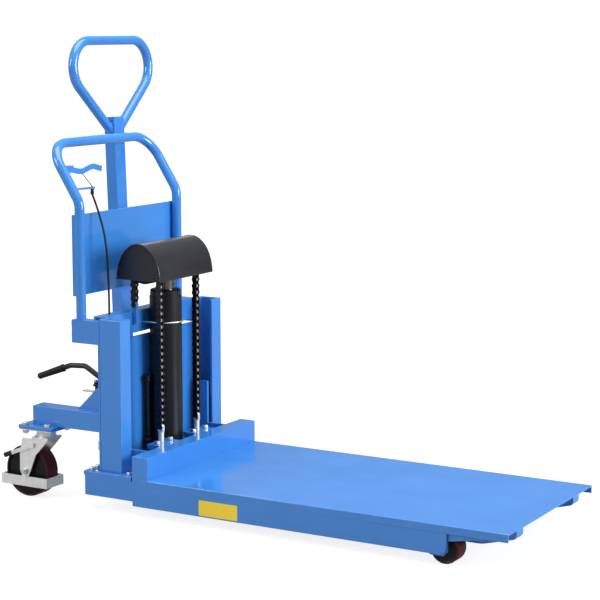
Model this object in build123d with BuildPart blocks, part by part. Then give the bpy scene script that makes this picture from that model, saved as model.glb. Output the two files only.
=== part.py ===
from build123d import *
from math import atan2, cos, degrees, hypot, pi, radians, sin, tan
import os

os.makedirs("parts", exist_ok=True)

# Deck and its cross beam
deck_front = 796.0
deck_length = 1070.0
deck_width = 566.0
deck_sheet = 5.0
deck_bend = 4.0
lip_height = 22.0
skirt_ground = 27.0
skirt_setback = 166.0
skirt_corner = 22.0
fork_width = 42.0
fork_depth = 52.0
fork_wall = 4.0
fork_setback = 8.0
ski_length = 95.0
ski_tip = 27.0
ski_radius = 60.0
ski_nose = 14.0
beam_depth = 50.0
beam_height = 62.0
beam_wall = 5.0

# Base legs and load rollers
skirt_gap = 2.0
fork_gap = 4.0
leg_width = 62.0
leg_height = 56.0
leg_wall = 5.0
leg_tail = 114.0
deck_clearance = 6.0
nose_setback = 45.0
nose_depth = 32.0
nose_tip = 11.0
cheek_ground = 22.0
cheek_behind = 36.0
cheek_ahead = 12.0
cheek_slope = 18.0
roller_radius = 40.0
roller_side_gap = 2.0
roller_setback = 178.0
roller_chamfer = 4.0
roller_headroom = 9.0
roller_axle_radius = 8.0
running_fit = 0.05
cross_depth = 100.0
cross_setback = 34.0
cross_drop = 4.0
cross_height = 46.0
cross_wall = 6.0

# Mast
mast_gap = 52.0
mast_inset = 18.0
mast_height = 535.0
upright_depth = 70.0
upright_flange = 50.0
upright_wall = 8.0
base_plate_thickness = 12.0
base_plate_ahead = 43.0
base_plate_length = 161.0
base_plate_margin = 4.0
back_plate_thickness = 6.0
mast_slot = 10.0
top_beam_depth = 44.0
top_beam_height = 62.0
top_beam_wall = 5.0
cable_hole_radius = 5.0
cable_back = 34.0
bracket_height = 65.0
bracket_side_gap = 0.5
bracket_drop = 8.0
bracket_wall = 3.5
bracket_behind = 7.0

# Hydraulic cylinder and pump
cylinder_gap = 1.0
cylinder_radius = 46.0
cylinder_bore = 35.0
cylinder_above = 38.0
cylinder_floor = 12.0
gland_step = 2.0
gland_height = 19.0
gland_chamfer = 3.0
rod_radius = 26.0
rod_show = 48.0
piston_height = 40.0
piston_rest = 5.0
pump_block_gap = 1.0
pump_block_width = 120.0
pump_block_height = 55.0
pump_block_corner = 8.0
reservoir_radius = 12.0
reservoir_gap = 1.5
reservoir_turn = 55.0
reservoir_height = 200.0
pump_width = 90.0
pump_depth = 66.0
pump_rise = 83.0
pump_height = 110.0
pump_corner = 10.0
pump_port_radius = 14.0
pump_port_height = 34.0
clamp_rise = 27.0
clamp_radius = 2.5
clamp_clearance = 0.5
clamp_nut = 10.0
clamp_nut_height = 5.0

# Chains, sheaves, crosshead and cover
chain_pitch = 19.05
chain_side = 92.0
wrap_links = 7
rear_links = 6
roller_half_width = 5.9
link_plate = 1.9
link_height = 16.0
link_roller = 6.0
link_chamfer = 4.6
link_play = 0.3
link_pin = 2.9
stud_pin_above = 43.8
sheave_flange = 51.0
sheave_rim = 3.0
sheave_clearance = 0.6
axle_radius = 12.5
crosshead_gap = 4.7
crosshead_depth = 60.0
crosshead_below = 28.0
crosshead_above = 22.0
crosshead_corner = 6.0
cover_width = 148.0
cover_end = 43.0
cover_wall = 3.0
cover_below = 38.0
cover_height = 104.0
cover_inset = 5.0
eye_width = 10.0
eye_radius = 8.0
anchor_height = 55.0

# Carriage
guide_clearance = 0.8
guide_end_gap = 4.0
guide_above_deck = 40.0
guide_spacing = 110.0
guide_axle_radius = 10.0
guide_gap = 10.0
carriage_plate = 10.0
carriage_gap = 2.0
carriage_below = 30.0
carriage_above = 35.0
carriage_step_drop = 2.0
carriage_half = 24.0
lug_depth = 50.0
lug_half = 46.0
lug_thickness = 14.0
stud_radius = 8.0
stud_below = 18.0
stud_play = 0.3
stud_nut = 22.0
stud_nut_height = 11.0
eye_drop = 14.0
lug_bolt_spread = 32.0
lug_bolt_setback = 24.0

# Caster arms and casters
arm_depth = 54.0
arm_wall = 5.0
arm_reach = 231.0
gusset_length = 88.0
gusset_height = 86.0
gusset_thickness = 8.0
pad_thickness = 10.0
pad_length = 120.0
pad_width = 112.0
pad_corner = 8.0
pad_bolt_end = 22.0
pad_bolt_side = 10.0
caster_height = 205.0
caster_back = 209.0
caster_trail = 54.0
caster_plate = 4.0
caster_plate_margin = 4.0
wheel_radius = 75.0
wheel_width = 50.0
wheel_chamfer = 7.0
caster_axle_radius = 6.0
kingpin_radius = 8.0
swivel_gap = 0.6
race_radius = 28.0
race_height = 22.0
crown_thickness = 6.0
crown_half = 28.0
fork_gap_side = 3.0
fork_plate = 5.0
fork_foot = 18.0
fork_rise = 50.0
fork_waist = 38.0
guard_end_gap = 3.0
guard_side_gap = 3.0
guard_wall = 3.0
guard_below = 42.0
guard_height = 29.0
guard_tab = 16.0
brake_pivot_ahead = 29.0
brake_pin_drop = 18.0
brake_length = 104.0
brake_drop = 22.0
brake_width = 11.0
brake_plate = 5.0
brake_gap = 2.0
brake_pin_radius = 4.0
brake_boss = 8.0

# Push bar, guard panel, release lever and cable
tube_radius = 14.0
bar_setback = 73.0
bar_knee_rise = 34.0
bar_rise = 159.0
bar_lean = 102.0
bar_corner = 75.0
bar_knee_radius = 60.0
bar_socket = 0.3
panel_gap = 63.0
panel_height = 228.0
panel_overhang = 3.0
panel_sheet = 3.0
panel_fold = 12.0
stop_rise = 33.0
stop_plate = 5.0
stop_ahead = 8.0
stop_inset = 78.0
stop_width = 12.0
ferrule_radius = 5.0
ferrule_length = 16.0
cable_radius = 3.0
cable_entry = 35.0
cable_shoulder_drop = 52.0
cable_shoulder_back = 54.0
cable_straight_drop = 162.0
cable_sweep = 400.0
cable_elbow = 60.0
lever_drop = 70.0
lever_ahead = 2.0
lever_plate = 6.0
lever_width = 16.0
lever_boss = 10.0
lever_pin_radius = 4.0
lever_inset = 30.0
lever_sag_at = 55.0
lever_sag = 11.0
lever_crest_at = 107.0
lever_crest = 3.0
lever_reach = 150.0
lever_droop = 8.0
lever_bend = 60.0
lever_gap = 1.0
lever_ear = 4.0

# Foot pedal and tow handle
pedal_side = 90.0
pedal_back = 53.0
pedal_height = 318.0
pedal_pin_radius = 7.0
pedal_hub_radius = 15.0
pedal_hub_width = 24.0
pedal_rod_radius = 8.0
pedal_knee_back = 60.0
pedal_knee_up = 12.0
pedal_crest_back = 116.0
pedal_crest_up = 43.0
pedal_shoulder_back = 168.0
pedal_shoulder_up = 40.0
pedal_tip_back = 283.0
pedal_tip_up = -3.0
pedal_bend = 30.0
grip_radius = 11.5
grip_length = 100.0
grip_cap = 4.0
handle_side = 139.0
handle_bar_gap = 16.0
handle_rake = 2.0
handle_width = 50.0
handle_depth = 36.0
handle_wall = 3.0
handle_pin_radius = 10.0
handle_hub_radius = 20.0
handle_gap = 1.0
handle_collar = 16.0
handle_cap = 5.0
loop_width = 403.0
loop_top = 1309.0
loop_corner = 78.0
loop_slope = 42.0
loop_root = 16.0
loop_seat = 42.0

# Fasteners
bolt_flat = 17.0
bolt_head = 9.0
base_bolt_end = 17.0
base_bolt_outer = 19.0
base_bolt_inner = 47.0
bracket_bolt_high = 12.0
bracket_bolt_low = 42.0

# Levels and stations of the deck and the base
leg_top = 2 * roller_radius + roller_headroom + leg_wall
leg_bottom = leg_top - leg_height
deck_under = leg_top + deck_clearance
deck_height = deck_under + deck_sheet
lip_bottom = deck_height - lip_height
beam_front = deck_front - deck_length
beam_rear = beam_front - beam_depth
beam_top = deck_height + beam_height
skirt_inner = deck_width / 2 - deck_sheet
leg_outer = skirt_inner - skirt_gap
leg_inner = leg_outer - leg_width
leg_middle = (leg_outer + leg_inner) / 2
roller_x = deck_front - roller_setback
roller_width = leg_width - 2 * (leg_wall + roller_side_gap)
cross_top = leg_top - cross_drop

# Levels and stations of the mast
mast_front = beam_rear - mast_gap
mast_rear = mast_front - upright_depth
mast_outer = leg_outer - mast_inset
mast_inner = mast_outer - upright_flange
mast_foot = leg_top + base_plate_thickness
back_plate_rear = mast_rear - back_plate_thickness
top_beam_bottom = mast_height - top_beam_height
back_plate_top = top_beam_bottom - mast_slot
bracket_width = 2 * (tube_radius + bracket_side_gap + bracket_wall)
bracket_reach = bar_setback + tube_radius + bracket_behind
bracket_top = mast_height - bracket_drop
bracket_bottom = bracket_top - bracket_height
bracket_inner = mast_outer - bracket_width
bracket_rear = mast_rear - bracket_reach

# Levels and stations of the lift
lift_x = mast_rear + cylinder_radius + cylinder_gap
block_top = cross_top + pump_block_height
block_half = lift_x - mast_rear - pump_block_gap
cylinder_top = mast_height + cylinder_above
gland_radius = cylinder_radius - gland_step
gland_top = cylinder_top + gland_height
reservoir_reach = cylinder_radius + reservoir_radius + reservoir_gap
reservoir_x = lift_x - reservoir_reach * cos(radians(reservoir_turn))
reservoir_y = -reservoir_reach * sin(radians(reservoir_turn))
clamp_height = top_beam_bottom + clamp_rise
wrap_radius = chain_pitch / 2 / sin(pi / (2 * wrap_links))
stud_pin = beam_top + stud_pin_above
front_links = 2 * round((gland_top + rod_show + crosshead_below - stud_pin) / (2 * chain_pitch))
sheave_z = stud_pin + front_links * chain_pitch
anchor_pin = sheave_z - rear_links * chain_pitch
link_inner = roller_half_width + link_plate
link_outer = link_inner + link_plate
groove_radius = wrap_radius * cos(pi / (2 * wrap_links)) - link_height / 2 - sheave_clearance
groove_half = link_outer + sheave_clearance
rim_half = groove_half + sheave_rim
crosshead_bottom = sheave_z - crosshead_below
crosshead_half = chain_side - rim_half - crosshead_gap
cover_bottom = sheave_z - cover_below
cover_half = chain_side + cover_end
axle_half = cover_half - cover_inset - cover_wall

# Levels and stations of the carriage
carriage_outer = mast_inner - carriage_gap
carriage_inner = carriage_outer - carriage_plate
guide_x = mast_front - upright_depth / 2
guide_radius = upright_depth / 2 - upright_wall - guide_clearance
guide_inner = carriage_outer + guide_gap
guide_width = mast_outer - upright_wall - guide_end_gap - guide_inner
guide_low = deck_height + guide_above_deck
guide_high = guide_low + guide_spacing
carriage_foot = guide_low - carriage_below
carriage_head = guide_high + carriage_above
carriage_step = beam_top - carriage_step_drop
lug_inner = chain_side - lug_half
lug_outer = chain_side + lug_half

# Levels and stations of the casters
pad_bottom = caster_height
arm_bottom = pad_bottom + pad_thickness
arm_top = arm_bottom + arm_depth
arm_middle = (mast_outer + mast_inner) / 2
arm_rear = back_plate_rear - arm_reach
caster_x = mast_rear - caster_back
caster_axle_x = caster_x - caster_trail
caster_plate_bottom = pad_bottom - caster_plate
race_top = caster_plate_bottom - swivel_gap
crown_top = race_top - race_height
crown_bottom = crown_top - crown_thickness
fork_inner = wheel_width / 2 + fork_gap_side
fork_outer = fork_inner + fork_plate
guard_length = 2 * (wheel_radius + guard_end_gap + guard_wall)
guard_width = 2 * (fork_outer + guard_side_gap + guard_wall)
guard_bottom = wheel_radius - guard_below
brake_inner = fork_outer + brake_gap
brake_x = caster_axle_x + brake_pivot_ahead
brake_pivot_height = crown_bottom - brake_pin_drop

# Levels and stations of the push bar, the release and the pedal
bar_x = mast_rear - bar_setback
bar_side = mast_outer - bracket_width / 2
panel_bottom = bracket_top + panel_gap
panel_width = 2 * (bar_side + panel_overhang)
bar_knee = panel_bottom + panel_height + bar_knee_rise
bar_height = bar_knee + bar_rise
bar_top_x = bar_x - bar_lean
lean_rate = bar_lean / bar_rise
stop_height = bar_knee + stop_rise
stop_side = bar_side - stop_inset
stop_x = bar_x - lean_rate * stop_rise
ferrule_x = stop_x + stop_ahead
lever_height = bar_height - lever_drop
lever_pin_side = bar_side - lever_inset
lever_x = bar_x - lean_rate * (lever_height - bar_knee) + lever_ahead
pedal_x = back_plate_rear - pedal_back
pump_bottom = pedal_height - pump_rise
pump_side = pump_width / 2
cable_x = mast_rear - cable_back
cable_end = pump_bottom + cable_entry
cable_shoulder = bar_knee - cable_shoulder_drop
cable_straight = bar_knee - cable_straight_drop

# Levels and stations of the tow handle
handle_foot = (arm_bottom + arm_top) / 2
handle_lean = (bar_height - handle_foot) * tan(radians(handle_rake))
handle_x = bar_top_x - tube_radius - handle_bar_gap - handle_depth / 2 + handle_lean
loop_level = loop_top - tube_radius
loop_reach = loop_width / 2 - tube_radius - loop_corner + loop_corner / tan(radians(loop_slope / 2))
loop_foot = loop_level - (loop_reach - loop_root) * tan(radians(loop_slope))
handle_height = loop_foot + loop_seat

# Middle of the machine's width
near_end = max(deck_width / 2, arm_middle + pad_width / 2)
far_end = max(near_end, handle_side + loop_width / 2)
frame_shift = (far_end - near_end) / 2

sides = (("near", -1), ("far", 1))
steps = (("low", guide_low), ("high", guide_high))


def keep(part, label):
    """Set one finished piece in the machine's frame, label it and write its STEP file."""
    placed = part.moved(Location((0, -frame_shift, 0)))
    placed.label = label
    export_step(placed, f"parts/{label}.step")


def block(xs, ys, zs, mode=Mode.ADD):
    """Extrude a rectangle between two X, two Y and two Z stations."""
    with BuildSketch(Plane.XY.offset(min(zs))) as outline:
        with Locations(((xs[0] + xs[1]) / 2, (ys[0] + ys[1]) / 2)):
            Rectangle(abs(xs[1] - xs[0]), abs(ys[1] - ys[0]))
    extrude(outline.sketch, amount=abs(zs[1] - zs[0]), mode=mode)


def bar(start, direction, radius, length, mode=Mode.ADD):
    """Extrude a round bar from a point along a direction."""
    with BuildSketch(Plane(origin=start, z_dir=direction)) as outline:
        Circle(radius)
    extrude(outline.sketch, amount=length, mode=mode)


def hexagon(start, direction, flat, length):
    """Extrude a hexagon head from a point along a direction."""
    with BuildSketch(Plane(origin=start, z_dir=direction)) as outline:
        RegularPolygon(flat / 2, 6, major_radius=False)
    extrude(outline.sketch, amount=length)


def profile(points, y, thickness, mode=Mode.ADD):
    """Extrude an X-Z outline towards +Y from the station y."""
    with BuildSketch(Plane.XZ.offset(-y)) as outline:
        Polygon(*points, align=None)
    extrude(outline.sketch, amount=-thickness, mode=mode)


# Deck sheet with folded lips along both sides
with BuildPart() as deck_plate:
    block((beam_front, deck_front), (-deck_width / 2, deck_width / 2), (lip_bottom, deck_height))
    block((beam_front, deck_front), (-skirt_inner, skirt_inner), (lip_bottom, deck_under), Mode.SUBTRACT)
    fillet(deck_plate.edges().filter_by(Axis.X).group_by(Axis.Z)[-1], deck_bend)
keep(deck_plate.part, "deck_plate")

# Side skirts butted under the lips, stepped up at the rear to carry the cross beam
with BuildPart() as deck_skirts:
    skirt_front = deck_front - skirt_setback
    for name, side in sides:
        profile((
            (beam_rear, skirt_ground),
            (skirt_front, skirt_ground),
            (skirt_front, lip_bottom),
            (beam_front, lip_bottom),
            (beam_front, deck_height),
            (beam_rear, deck_height),
        ), side * (deck_width / 2 - deck_sheet / 2) - deck_sheet / 2, deck_sheet)
    corners = deck_skirts.edges().filter_by(Axis.Y).group_by(Axis.X)[-1].group_by(Axis.Z)[0]
    fillet(corners, skirt_corner)
keep(deck_skirts.part, "deck_skirts")

# Two hollow beams under the deck, turned up at the front like skis
with BuildPart() as deck_forks:
    fork_front = deck_front - fork_setback
    fork_bottom = deck_under - fork_depth
    for name, side in sides:
        y = side * (leg_inner - fork_gap - fork_width / 2)
        with BuildSketch(Plane.XZ.offset(-y)):
            with BuildLine():
                FilletPolyline(
                    (beam_rear, deck_under),
                    (beam_rear, fork_bottom),
                    (fork_front - ski_length, fork_bottom),
                    (fork_front, deck_under - ski_tip),
                    (fork_front, deck_under),
                    radius=(0, ski_radius, ski_nose))
                Line((fork_front, deck_under), (beam_rear, deck_under))
            make_face()
        extrude(amount=fork_width / 2, both=True)
        block((beam_rear + fork_wall, fork_front - ski_length),
              (y - fork_width / 2 + fork_wall, y + fork_width / 2 - fork_wall),
              (fork_bottom + fork_wall, deck_under), Mode.SUBTRACT)
keep(deck_forks.part, "deck_forks")

# Cross beam behind the deck, a channel that stands on the skirts and the two beams
with BuildPart() as carriage_beam:
    block((beam_rear, beam_front), (-deck_width / 2, deck_width / 2), (deck_height, beam_top))
    block((beam_rear, beam_front), (-skirt_inner, skirt_inner), (deck_under, deck_height))
    block((beam_rear + beam_wall, beam_front - beam_wall),
          (-deck_width / 2 + beam_wall, deck_width / 2 - beam_wall),
          (deck_under, beam_top - beam_wall), Mode.SUBTRACT)
keep(carriage_beam.part, "carriage_beam")

# Base legs: box beams with an open fork for the load roller and a tapered nose
for name, side in sides:
    with BuildPart() as base_leg:
        leg_rear = mast_front - leg_tail
        nose = deck_front - nose_setback
        fork_rear = roller_x - cheek_behind - cheek_slope
        profile((
            (leg_rear, leg_bottom),
            (fork_rear, leg_bottom),
            (roller_x - cheek_behind, cheek_ground),
            (roller_x, cheek_ground),
            (roller_x + cheek_ahead, cheek_ground + cheek_ahead),
            (roller_x + cheek_ahead, leg_top - nose_depth),
            (nose, leg_top - nose_tip),
            (nose, leg_top),
            (leg_rear, leg_top),
        ), side * leg_middle - leg_width / 2, leg_width)
        walls = (side * (leg_inner + leg_wall), side * (leg_outer - leg_wall))
        block((leg_rear + leg_wall, fork_rear - leg_wall), walls, (leg_bottom + leg_wall, leg_top - leg_wall),
              Mode.SUBTRACT)
        block((fork_rear, nose - nose_tip), walls, (0, leg_top - leg_wall), Mode.SUBTRACT)
        bar((roller_x, side * leg_inner, roller_radius), (0, side, 0), roller_axle_radius, leg_width,
            Mode.SUBTRACT)
    keep(base_leg.part, f"base_leg_{name}")

# Load roller axles pressed into the leg cheeks
with BuildPart() as load_axles:
    for name, side in sides:
        bar((roller_x, side * leg_inner, roller_radius), (0, side, 0), roller_axle_radius, leg_width)
keep(load_axles.part, "load_axles")

# Load rollers under the front of the legs
for name, side in sides:
    with BuildPart() as load_roller:
        bar((roller_x, side * leg_middle - roller_width / 2, roller_radius), (0, 1, 0), roller_radius,
            roller_width)
        rims = load_roller.edges().filter_by(GeomType.CIRCLE)
        chamfer(rims, roller_chamfer)
        bar((roller_x, side * leg_middle - roller_width / 2, roller_radius), (0, 1, 0),
            roller_axle_radius + running_fit, roller_width, Mode.SUBTRACT)
    keep(load_roller.part, f"load_roller_{name}")

# Cross member between the legs, which carries the cylinder
with BuildPart() as base_cross_member:
    cross_front = mast_front + cross_setback
    block((cross_front - cross_depth, cross_front), (-leg_inner, leg_inner),
          (cross_top - cross_height, cross_top))
    block((cross_front - cross_depth + cross_wall, cross_front - cross_wall), (-leg_inner, leg_inner),
          (cross_top - cross_height, cross_top - cross_wall), Mode.SUBTRACT)
keep(base_cross_member.part, "base_cross_member")

# Foot plates of the mast
with BuildPart() as base_plates:
    for name, side in sides:
        block((mast_front + base_plate_ahead - base_plate_length, mast_front + base_plate_ahead),
              (side * (mast_inner - base_plate_margin), side * leg_outer), (leg_top, mast_foot))
keep(base_plates.part, "base_plates")

# Mast uprights: channels that open towards each other
for name, side in sides:
    with BuildPart() as mast_upright:
        block((mast_rear, mast_front), (side * mast_inner, side * mast_outer), (mast_foot, mast_height))
        block((mast_rear + upright_wall, mast_front - upright_wall),
              (side * mast_inner, side * (mast_outer - upright_wall)), (mast_foot, mast_height),
              Mode.SUBTRACT)
    keep(mast_upright.part, f"mast_upright_{name}")

# Back plate, notched at the top for the handle brackets
with BuildPart() as mast_back_plate:
    block((back_plate_rear, mast_rear), (-mast_outer, mast_outer), (mast_foot, back_plate_top))
    for name, side in sides:
        block((back_plate_rear, mast_rear), (side * bracket_inner, side * mast_outer),
              (bracket_bottom, back_plate_top), Mode.SUBTRACT)
    bar((back_plate_rear, 0, pump_bottom + pump_port_height), (1, 0, 0), pump_port_radius,
        back_plate_thickness, Mode.SUBTRACT)
keep(mast_back_plate.part, "mast_back_plate")

# Top beam between the handle brackets, open below
with BuildPart() as mast_top_beam:
    top_beam_rear = mast_rear - top_beam_depth
    block((top_beam_rear, mast_rear), (-bracket_inner, bracket_inner), (top_beam_bottom, mast_height))
    block((top_beam_rear + top_beam_wall, mast_rear - top_beam_wall), (-bracket_inner, bracket_inner),
          (top_beam_bottom, mast_height - top_beam_wall), Mode.SUBTRACT)
    bar((cable_x, -stop_side, top_beam_bottom), (0, 0, 1), cable_hole_radius,
        top_beam_height, Mode.SUBTRACT)
    for name, side in sides:
        bar((top_beam_rear, side * (cylinder_radius + clamp_clearance + clamp_radius), clamp_height),
            (1, 0, 0), clamp_radius + clamp_clearance, top_beam_depth, Mode.SUBTRACT)
keep(mast_top_beam.part, "mast_top_beam")

# Handle brackets behind the uprights, hollow, with a hole for the push bar leg
with BuildPart() as handle_brackets:
    for name, side in sides:
        block((bracket_rear, mast_rear), (side * bracket_inner, side * mast_outer),
              (bracket_bottom, bracket_top))
        block((bracket_rear + bracket_wall, mast_rear),
              (side * (bracket_inner + bracket_wall), side * (mast_outer - bracket_wall)),
              (bracket_bottom + bracket_wall, bracket_top - bracket_wall), Mode.SUBTRACT)
        bar((bar_x, side * bar_side, bracket_top - bracket_wall), (0, 0, 1), tube_radius + bar_socket,
            bracket_wall, Mode.SUBTRACT)
keep(handle_brackets.part, "handle_brackets")

# Push bar: one bent tube standing in the two brackets
with BuildPart() as push_bar:
    with BuildLine() as bar_path:
        FilletPolyline(
            (bar_x, -bar_side, bracket_bottom + bracket_wall),
            (bar_x, -bar_side, bar_knee),
            (bar_top_x, -bar_side, bar_height),
            (bar_top_x, bar_side, bar_height),
            (bar_x, bar_side, bar_knee),
            (bar_x, bar_side, bracket_bottom + bracket_wall),
            radius=(bar_knee_radius, bar_corner, bar_corner, bar_knee_radius))
    with BuildSketch(Plane.XY.offset(bracket_bottom + bracket_wall)):
        with Locations((bar_x, -bar_side)):
            Circle(tube_radius)
    sweep(path=bar_path.line)
keep(push_bar.part, "push_bar")

# Guard panel behind the push bar legs, its side edges folded back
with BuildPart() as guard_panel:
    panel_front = bar_x - tube_radius
    block((panel_front - panel_fold, panel_front), (-panel_width / 2, panel_width / 2),
          (panel_bottom, panel_bottom + panel_height))
    block((panel_front - panel_fold, panel_front - panel_sheet),
          (-panel_width / 2 + panel_sheet, panel_width / 2 - panel_sheet),
          (panel_bottom, panel_bottom + panel_height), Mode.SUBTRACT)
keep(guard_panel.part, "guard_panel")

# Pump block under the cylinder
with BuildPart() as pump_block:
    block((lift_x - block_half, lift_x + block_half),
          (-pump_block_width / 2, pump_block_width / 2), (cross_top, block_top))
    fillet(pump_block.edges().filter_by(Axis.Z), pump_block_corner)
keep(pump_block.part, "pump_block")

# Cylinder tube with a closed floor
with BuildPart() as cylinder_tube:
    bar((lift_x, 0, block_top), (0, 0, 1), cylinder_radius, cylinder_top - block_top)
    bar((lift_x, 0, block_top + cylinder_floor), (0, 0, 1), cylinder_bore,
        cylinder_top - block_top - cylinder_floor, Mode.SUBTRACT)
keep(cylinder_tube.part, "cylinder_tube")

# Gland ring at the cylinder's mouth
with BuildPart() as cylinder_gland:
    bar((lift_x, 0, cylinder_top), (0, 0, 1), gland_radius, gland_height)
    chamfer(cylinder_gland.edges().group_by(Axis.Z)[-1], gland_chamfer)
    bar((lift_x, 0, cylinder_top), (0, 0, 1), rod_radius + running_fit, gland_height, Mode.SUBTRACT)
keep(cylinder_gland.part, "cylinder_gland")

# Oil tube standing on the pump block beside the cylinder
with BuildPart() as oil_tube:
    bar((reservoir_x, reservoir_y, block_top), (0, 0, 1), reservoir_radius, reservoir_height)
keep(oil_tube.part, "oil_tube")

# Pump with its pedal pin, bolted behind the back plate
with BuildPart() as pump_body:
    block((back_plate_rear - pump_depth, back_plate_rear), (-pump_side, pump_side),
          (pump_bottom, pump_bottom + pump_height))
    fillet(pump_body.edges().filter_by(Axis.Y).group_by(Axis.X)[0], pump_corner)
    bar((back_plate_rear, 0, pump_bottom + pump_port_height), (1, 0, 0), pump_port_radius,
        back_plate_thickness)
    bar((pedal_x, -pump_side, pedal_height), (0, -1, 0), pedal_pin_radius,
        pedal_side + pedal_hub_width / 2 - pump_side)
keep(pump_body.part, "pump_body")

# Round clamp that ties the cylinder to the top beam
with BuildPart() as cylinder_clamp:
    clamp_ring = cylinder_radius + clamp_clearance + clamp_radius
    clamp_rear = mast_rear - top_beam_depth - clamp_nut_height
    with BuildLine() as clamp_path:
        Line((clamp_rear, -clamp_ring, clamp_height), (lift_x, -clamp_ring, clamp_height))
        ThreePointArc((lift_x, -clamp_ring, clamp_height), (lift_x + clamp_ring, 0, clamp_height),
                      (lift_x, clamp_ring, clamp_height))
        Line((lift_x, clamp_ring, clamp_height), (clamp_rear, clamp_ring, clamp_height))
    with BuildSketch(Plane(origin=(clamp_rear, -clamp_ring, clamp_height), z_dir=(1, 0, 0))):
        Circle(clamp_radius)
    sweep(path=clamp_path.line)
    for name, side in sides:
        hexagon((mast_rear - top_beam_depth, side * clamp_ring, clamp_height), (-1, 0, 0), clamp_nut,
                clamp_nut_height)
keep(cylinder_clamp.part, "cylinder_clamp")

# Piston rod with its piston near the cylinder's floor
with BuildPart() as piston_rod:
    rod_foot = block_top + cylinder_floor + piston_rest
    bar((lift_x, 0, rod_foot), (0, 0, 1), rod_radius, crosshead_bottom - rod_foot)
    bar((lift_x, 0, rod_foot), (0, 0, 1), cylinder_bore - running_fit, piston_height)
keep(piston_rod.part, "piston_rod")

# Crosshead on the rod, bored for the sheave axle
with BuildPart() as crosshead:
    block((lift_x - crosshead_depth / 2, lift_x + crosshead_depth / 2), (-crosshead_half, crosshead_half),
          (crosshead_bottom, sheave_z + crosshead_above))
    chamfer(crosshead.edges().filter_by(Axis.Y), crosshead_corner)
    bar((lift_x, -crosshead_half, sheave_z), (0, 1, 0), axle_radius, 2 * crosshead_half, Mode.SUBTRACT)
keep(crosshead.part, "crosshead")

# Sheave axle, held at its ends by the cover
with BuildPart() as sheave_axle:
    bar((lift_x, -axle_half, sheave_z), (0, 1, 0), axle_radius, 2 * axle_half)
keep(sheave_axle.part, "sheave_axle")

# Plain flanged sheaves that turn on the axle
for name, side in sides:
    with BuildPart() as sheave:
        with BuildSketch(Plane(origin=(lift_x, side * chain_side, sheave_z), x_dir=(0, 0, 1),
                               z_dir=(1, 0, 0))):
            bore = axle_radius + running_fit
            Polygon(
                (bore, -rim_half),
                (sheave_flange, -rim_half),
                (sheave_flange, -groove_half),
                (groove_radius, -groove_half),
                (groove_radius, groove_half),
                (sheave_flange, groove_half),
                (sheave_flange, rim_half),
                (bore, rim_half),
                align=None)
        revolve(axis=Axis((lift_x, 0, sheave_z), (0, 1, 0)))
    keep(sheave.part, f"chain_sheave_{name}")


def arch(inset, y, half, mode=Mode.ADD):
    """Extrude the cover's arched outline, drawn in by inset, to both sides of the station y."""
    reach = cover_width / 2 - inset
    with BuildSketch(Plane.XZ.offset(-y)) as outline:
        with BuildLine():
            EllipticalCenterArc((lift_x, cover_bottom), reach, cover_height - inset, arc_size=180)
            Line((lift_x - reach, cover_bottom), (lift_x + reach, cover_bottom))
        make_face()
    extrude(outline.sketch, amount=half, both=True, mode=mode)


# Arched cover over crosshead and sheaves, its end walls set back from the rim
with BuildPart() as chain_cover:
    arch(0, 0, cover_half)
    arch(cover_wall, 0, axle_half, Mode.SUBTRACT)
    for name, side in sides:
        arch(cover_wall, side * (cover_half - cover_inset / 2), cover_inset / 2, Mode.SUBTRACT)
keep(chain_cover.part, "chain_cover")


def link_outline(start, end):
    """Draw the eight-sided outline of one chain plate round two pins."""
    length = hypot(end[0] - start[0], end[1] - start[1])
    turn = degrees(atan2(end[1] - start[1], end[0] - start[0]))
    reach = length / 2 + link_height / 2
    half = link_height / 2
    with Locations(Location(((start[0] + end[0]) / 2, (start[1] + end[1]) / 2, 0), (0, 0, turn))):
        Polygon(
            (-reach, -half + link_chamfer), (-reach + link_chamfer, -half),
            (reach - link_chamfer, -half), (reach, -half + link_chamfer),
            (reach, half - link_chamfer), (reach - link_chamfer, half),
            (-reach + link_chamfer, half), (-reach, half - link_chamfer), align=None)


def chain(pins, y, play, rollers):
    """Add one run of roller chain through a row of pins to the part being built."""
    middle = Plane.XZ.offset(-y)
    pairs = list(zip(pins[:-1], pins[1:]))
    for start, inner, outer in (
            (1, link_inner - play, link_outer - play), (0, roller_half_width, link_inner - play)):
        with BuildSketch(middle) as plates:
            for a, b in pairs[start::2]:
                link_outline(a, b)
        extrude(plates.sketch, amount=outer, both=True)
        extrude(plates.sketch, amount=inner, both=True, mode=Mode.SUBTRACT)
    with BuildSketch(middle) as round_rollers:
        with Locations(*rollers):
            RegularPolygon(link_roller, 8, major_radius=False)
    extrude(round_rollers.sketch, amount=roller_half_width, both=True)


def end_pin(pin, y):
    """Add the pin that ties a chain's first link to its eye."""
    with BuildSketch(Plane.XZ.offset(-y)) as round_pin:
        with Locations(pin):
            Circle(link_pin)
    extrude(round_pin.sketch, amount=link_outer, both=True)


def eye(pin, y, foot):
    """Add an upright eye that stands on the level foot and holds a chain's end pin."""
    with BuildSketch(Plane.XZ.offset(-y)) as outline:
        with Locations((pin[0], (pin[1] + foot) / 2)):
            Rectangle(2 * eye_radius, pin[1] - foot)
        with Locations(pin):
            Circle(eye_radius)
            Circle(link_pin + running_fit, mode=Mode.SUBTRACT)
    extrude(outline.sketch, amount=eye_width / 2, both=True)


front_pins = [(lift_x + wrap_radius, stud_pin + n * chain_pitch) for n in range(front_links + 1)]
rear_pins = [(lift_x - wrap_radius, anchor_pin + n * chain_pitch) for n in range(rear_links + 1)]
wrap_pins = [
    (lift_x + wrap_radius * cos(n * pi / wrap_links), sheave_z + wrap_radius * sin(n * pi / wrap_links))
    for n in range(wrap_links + 1)]

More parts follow.
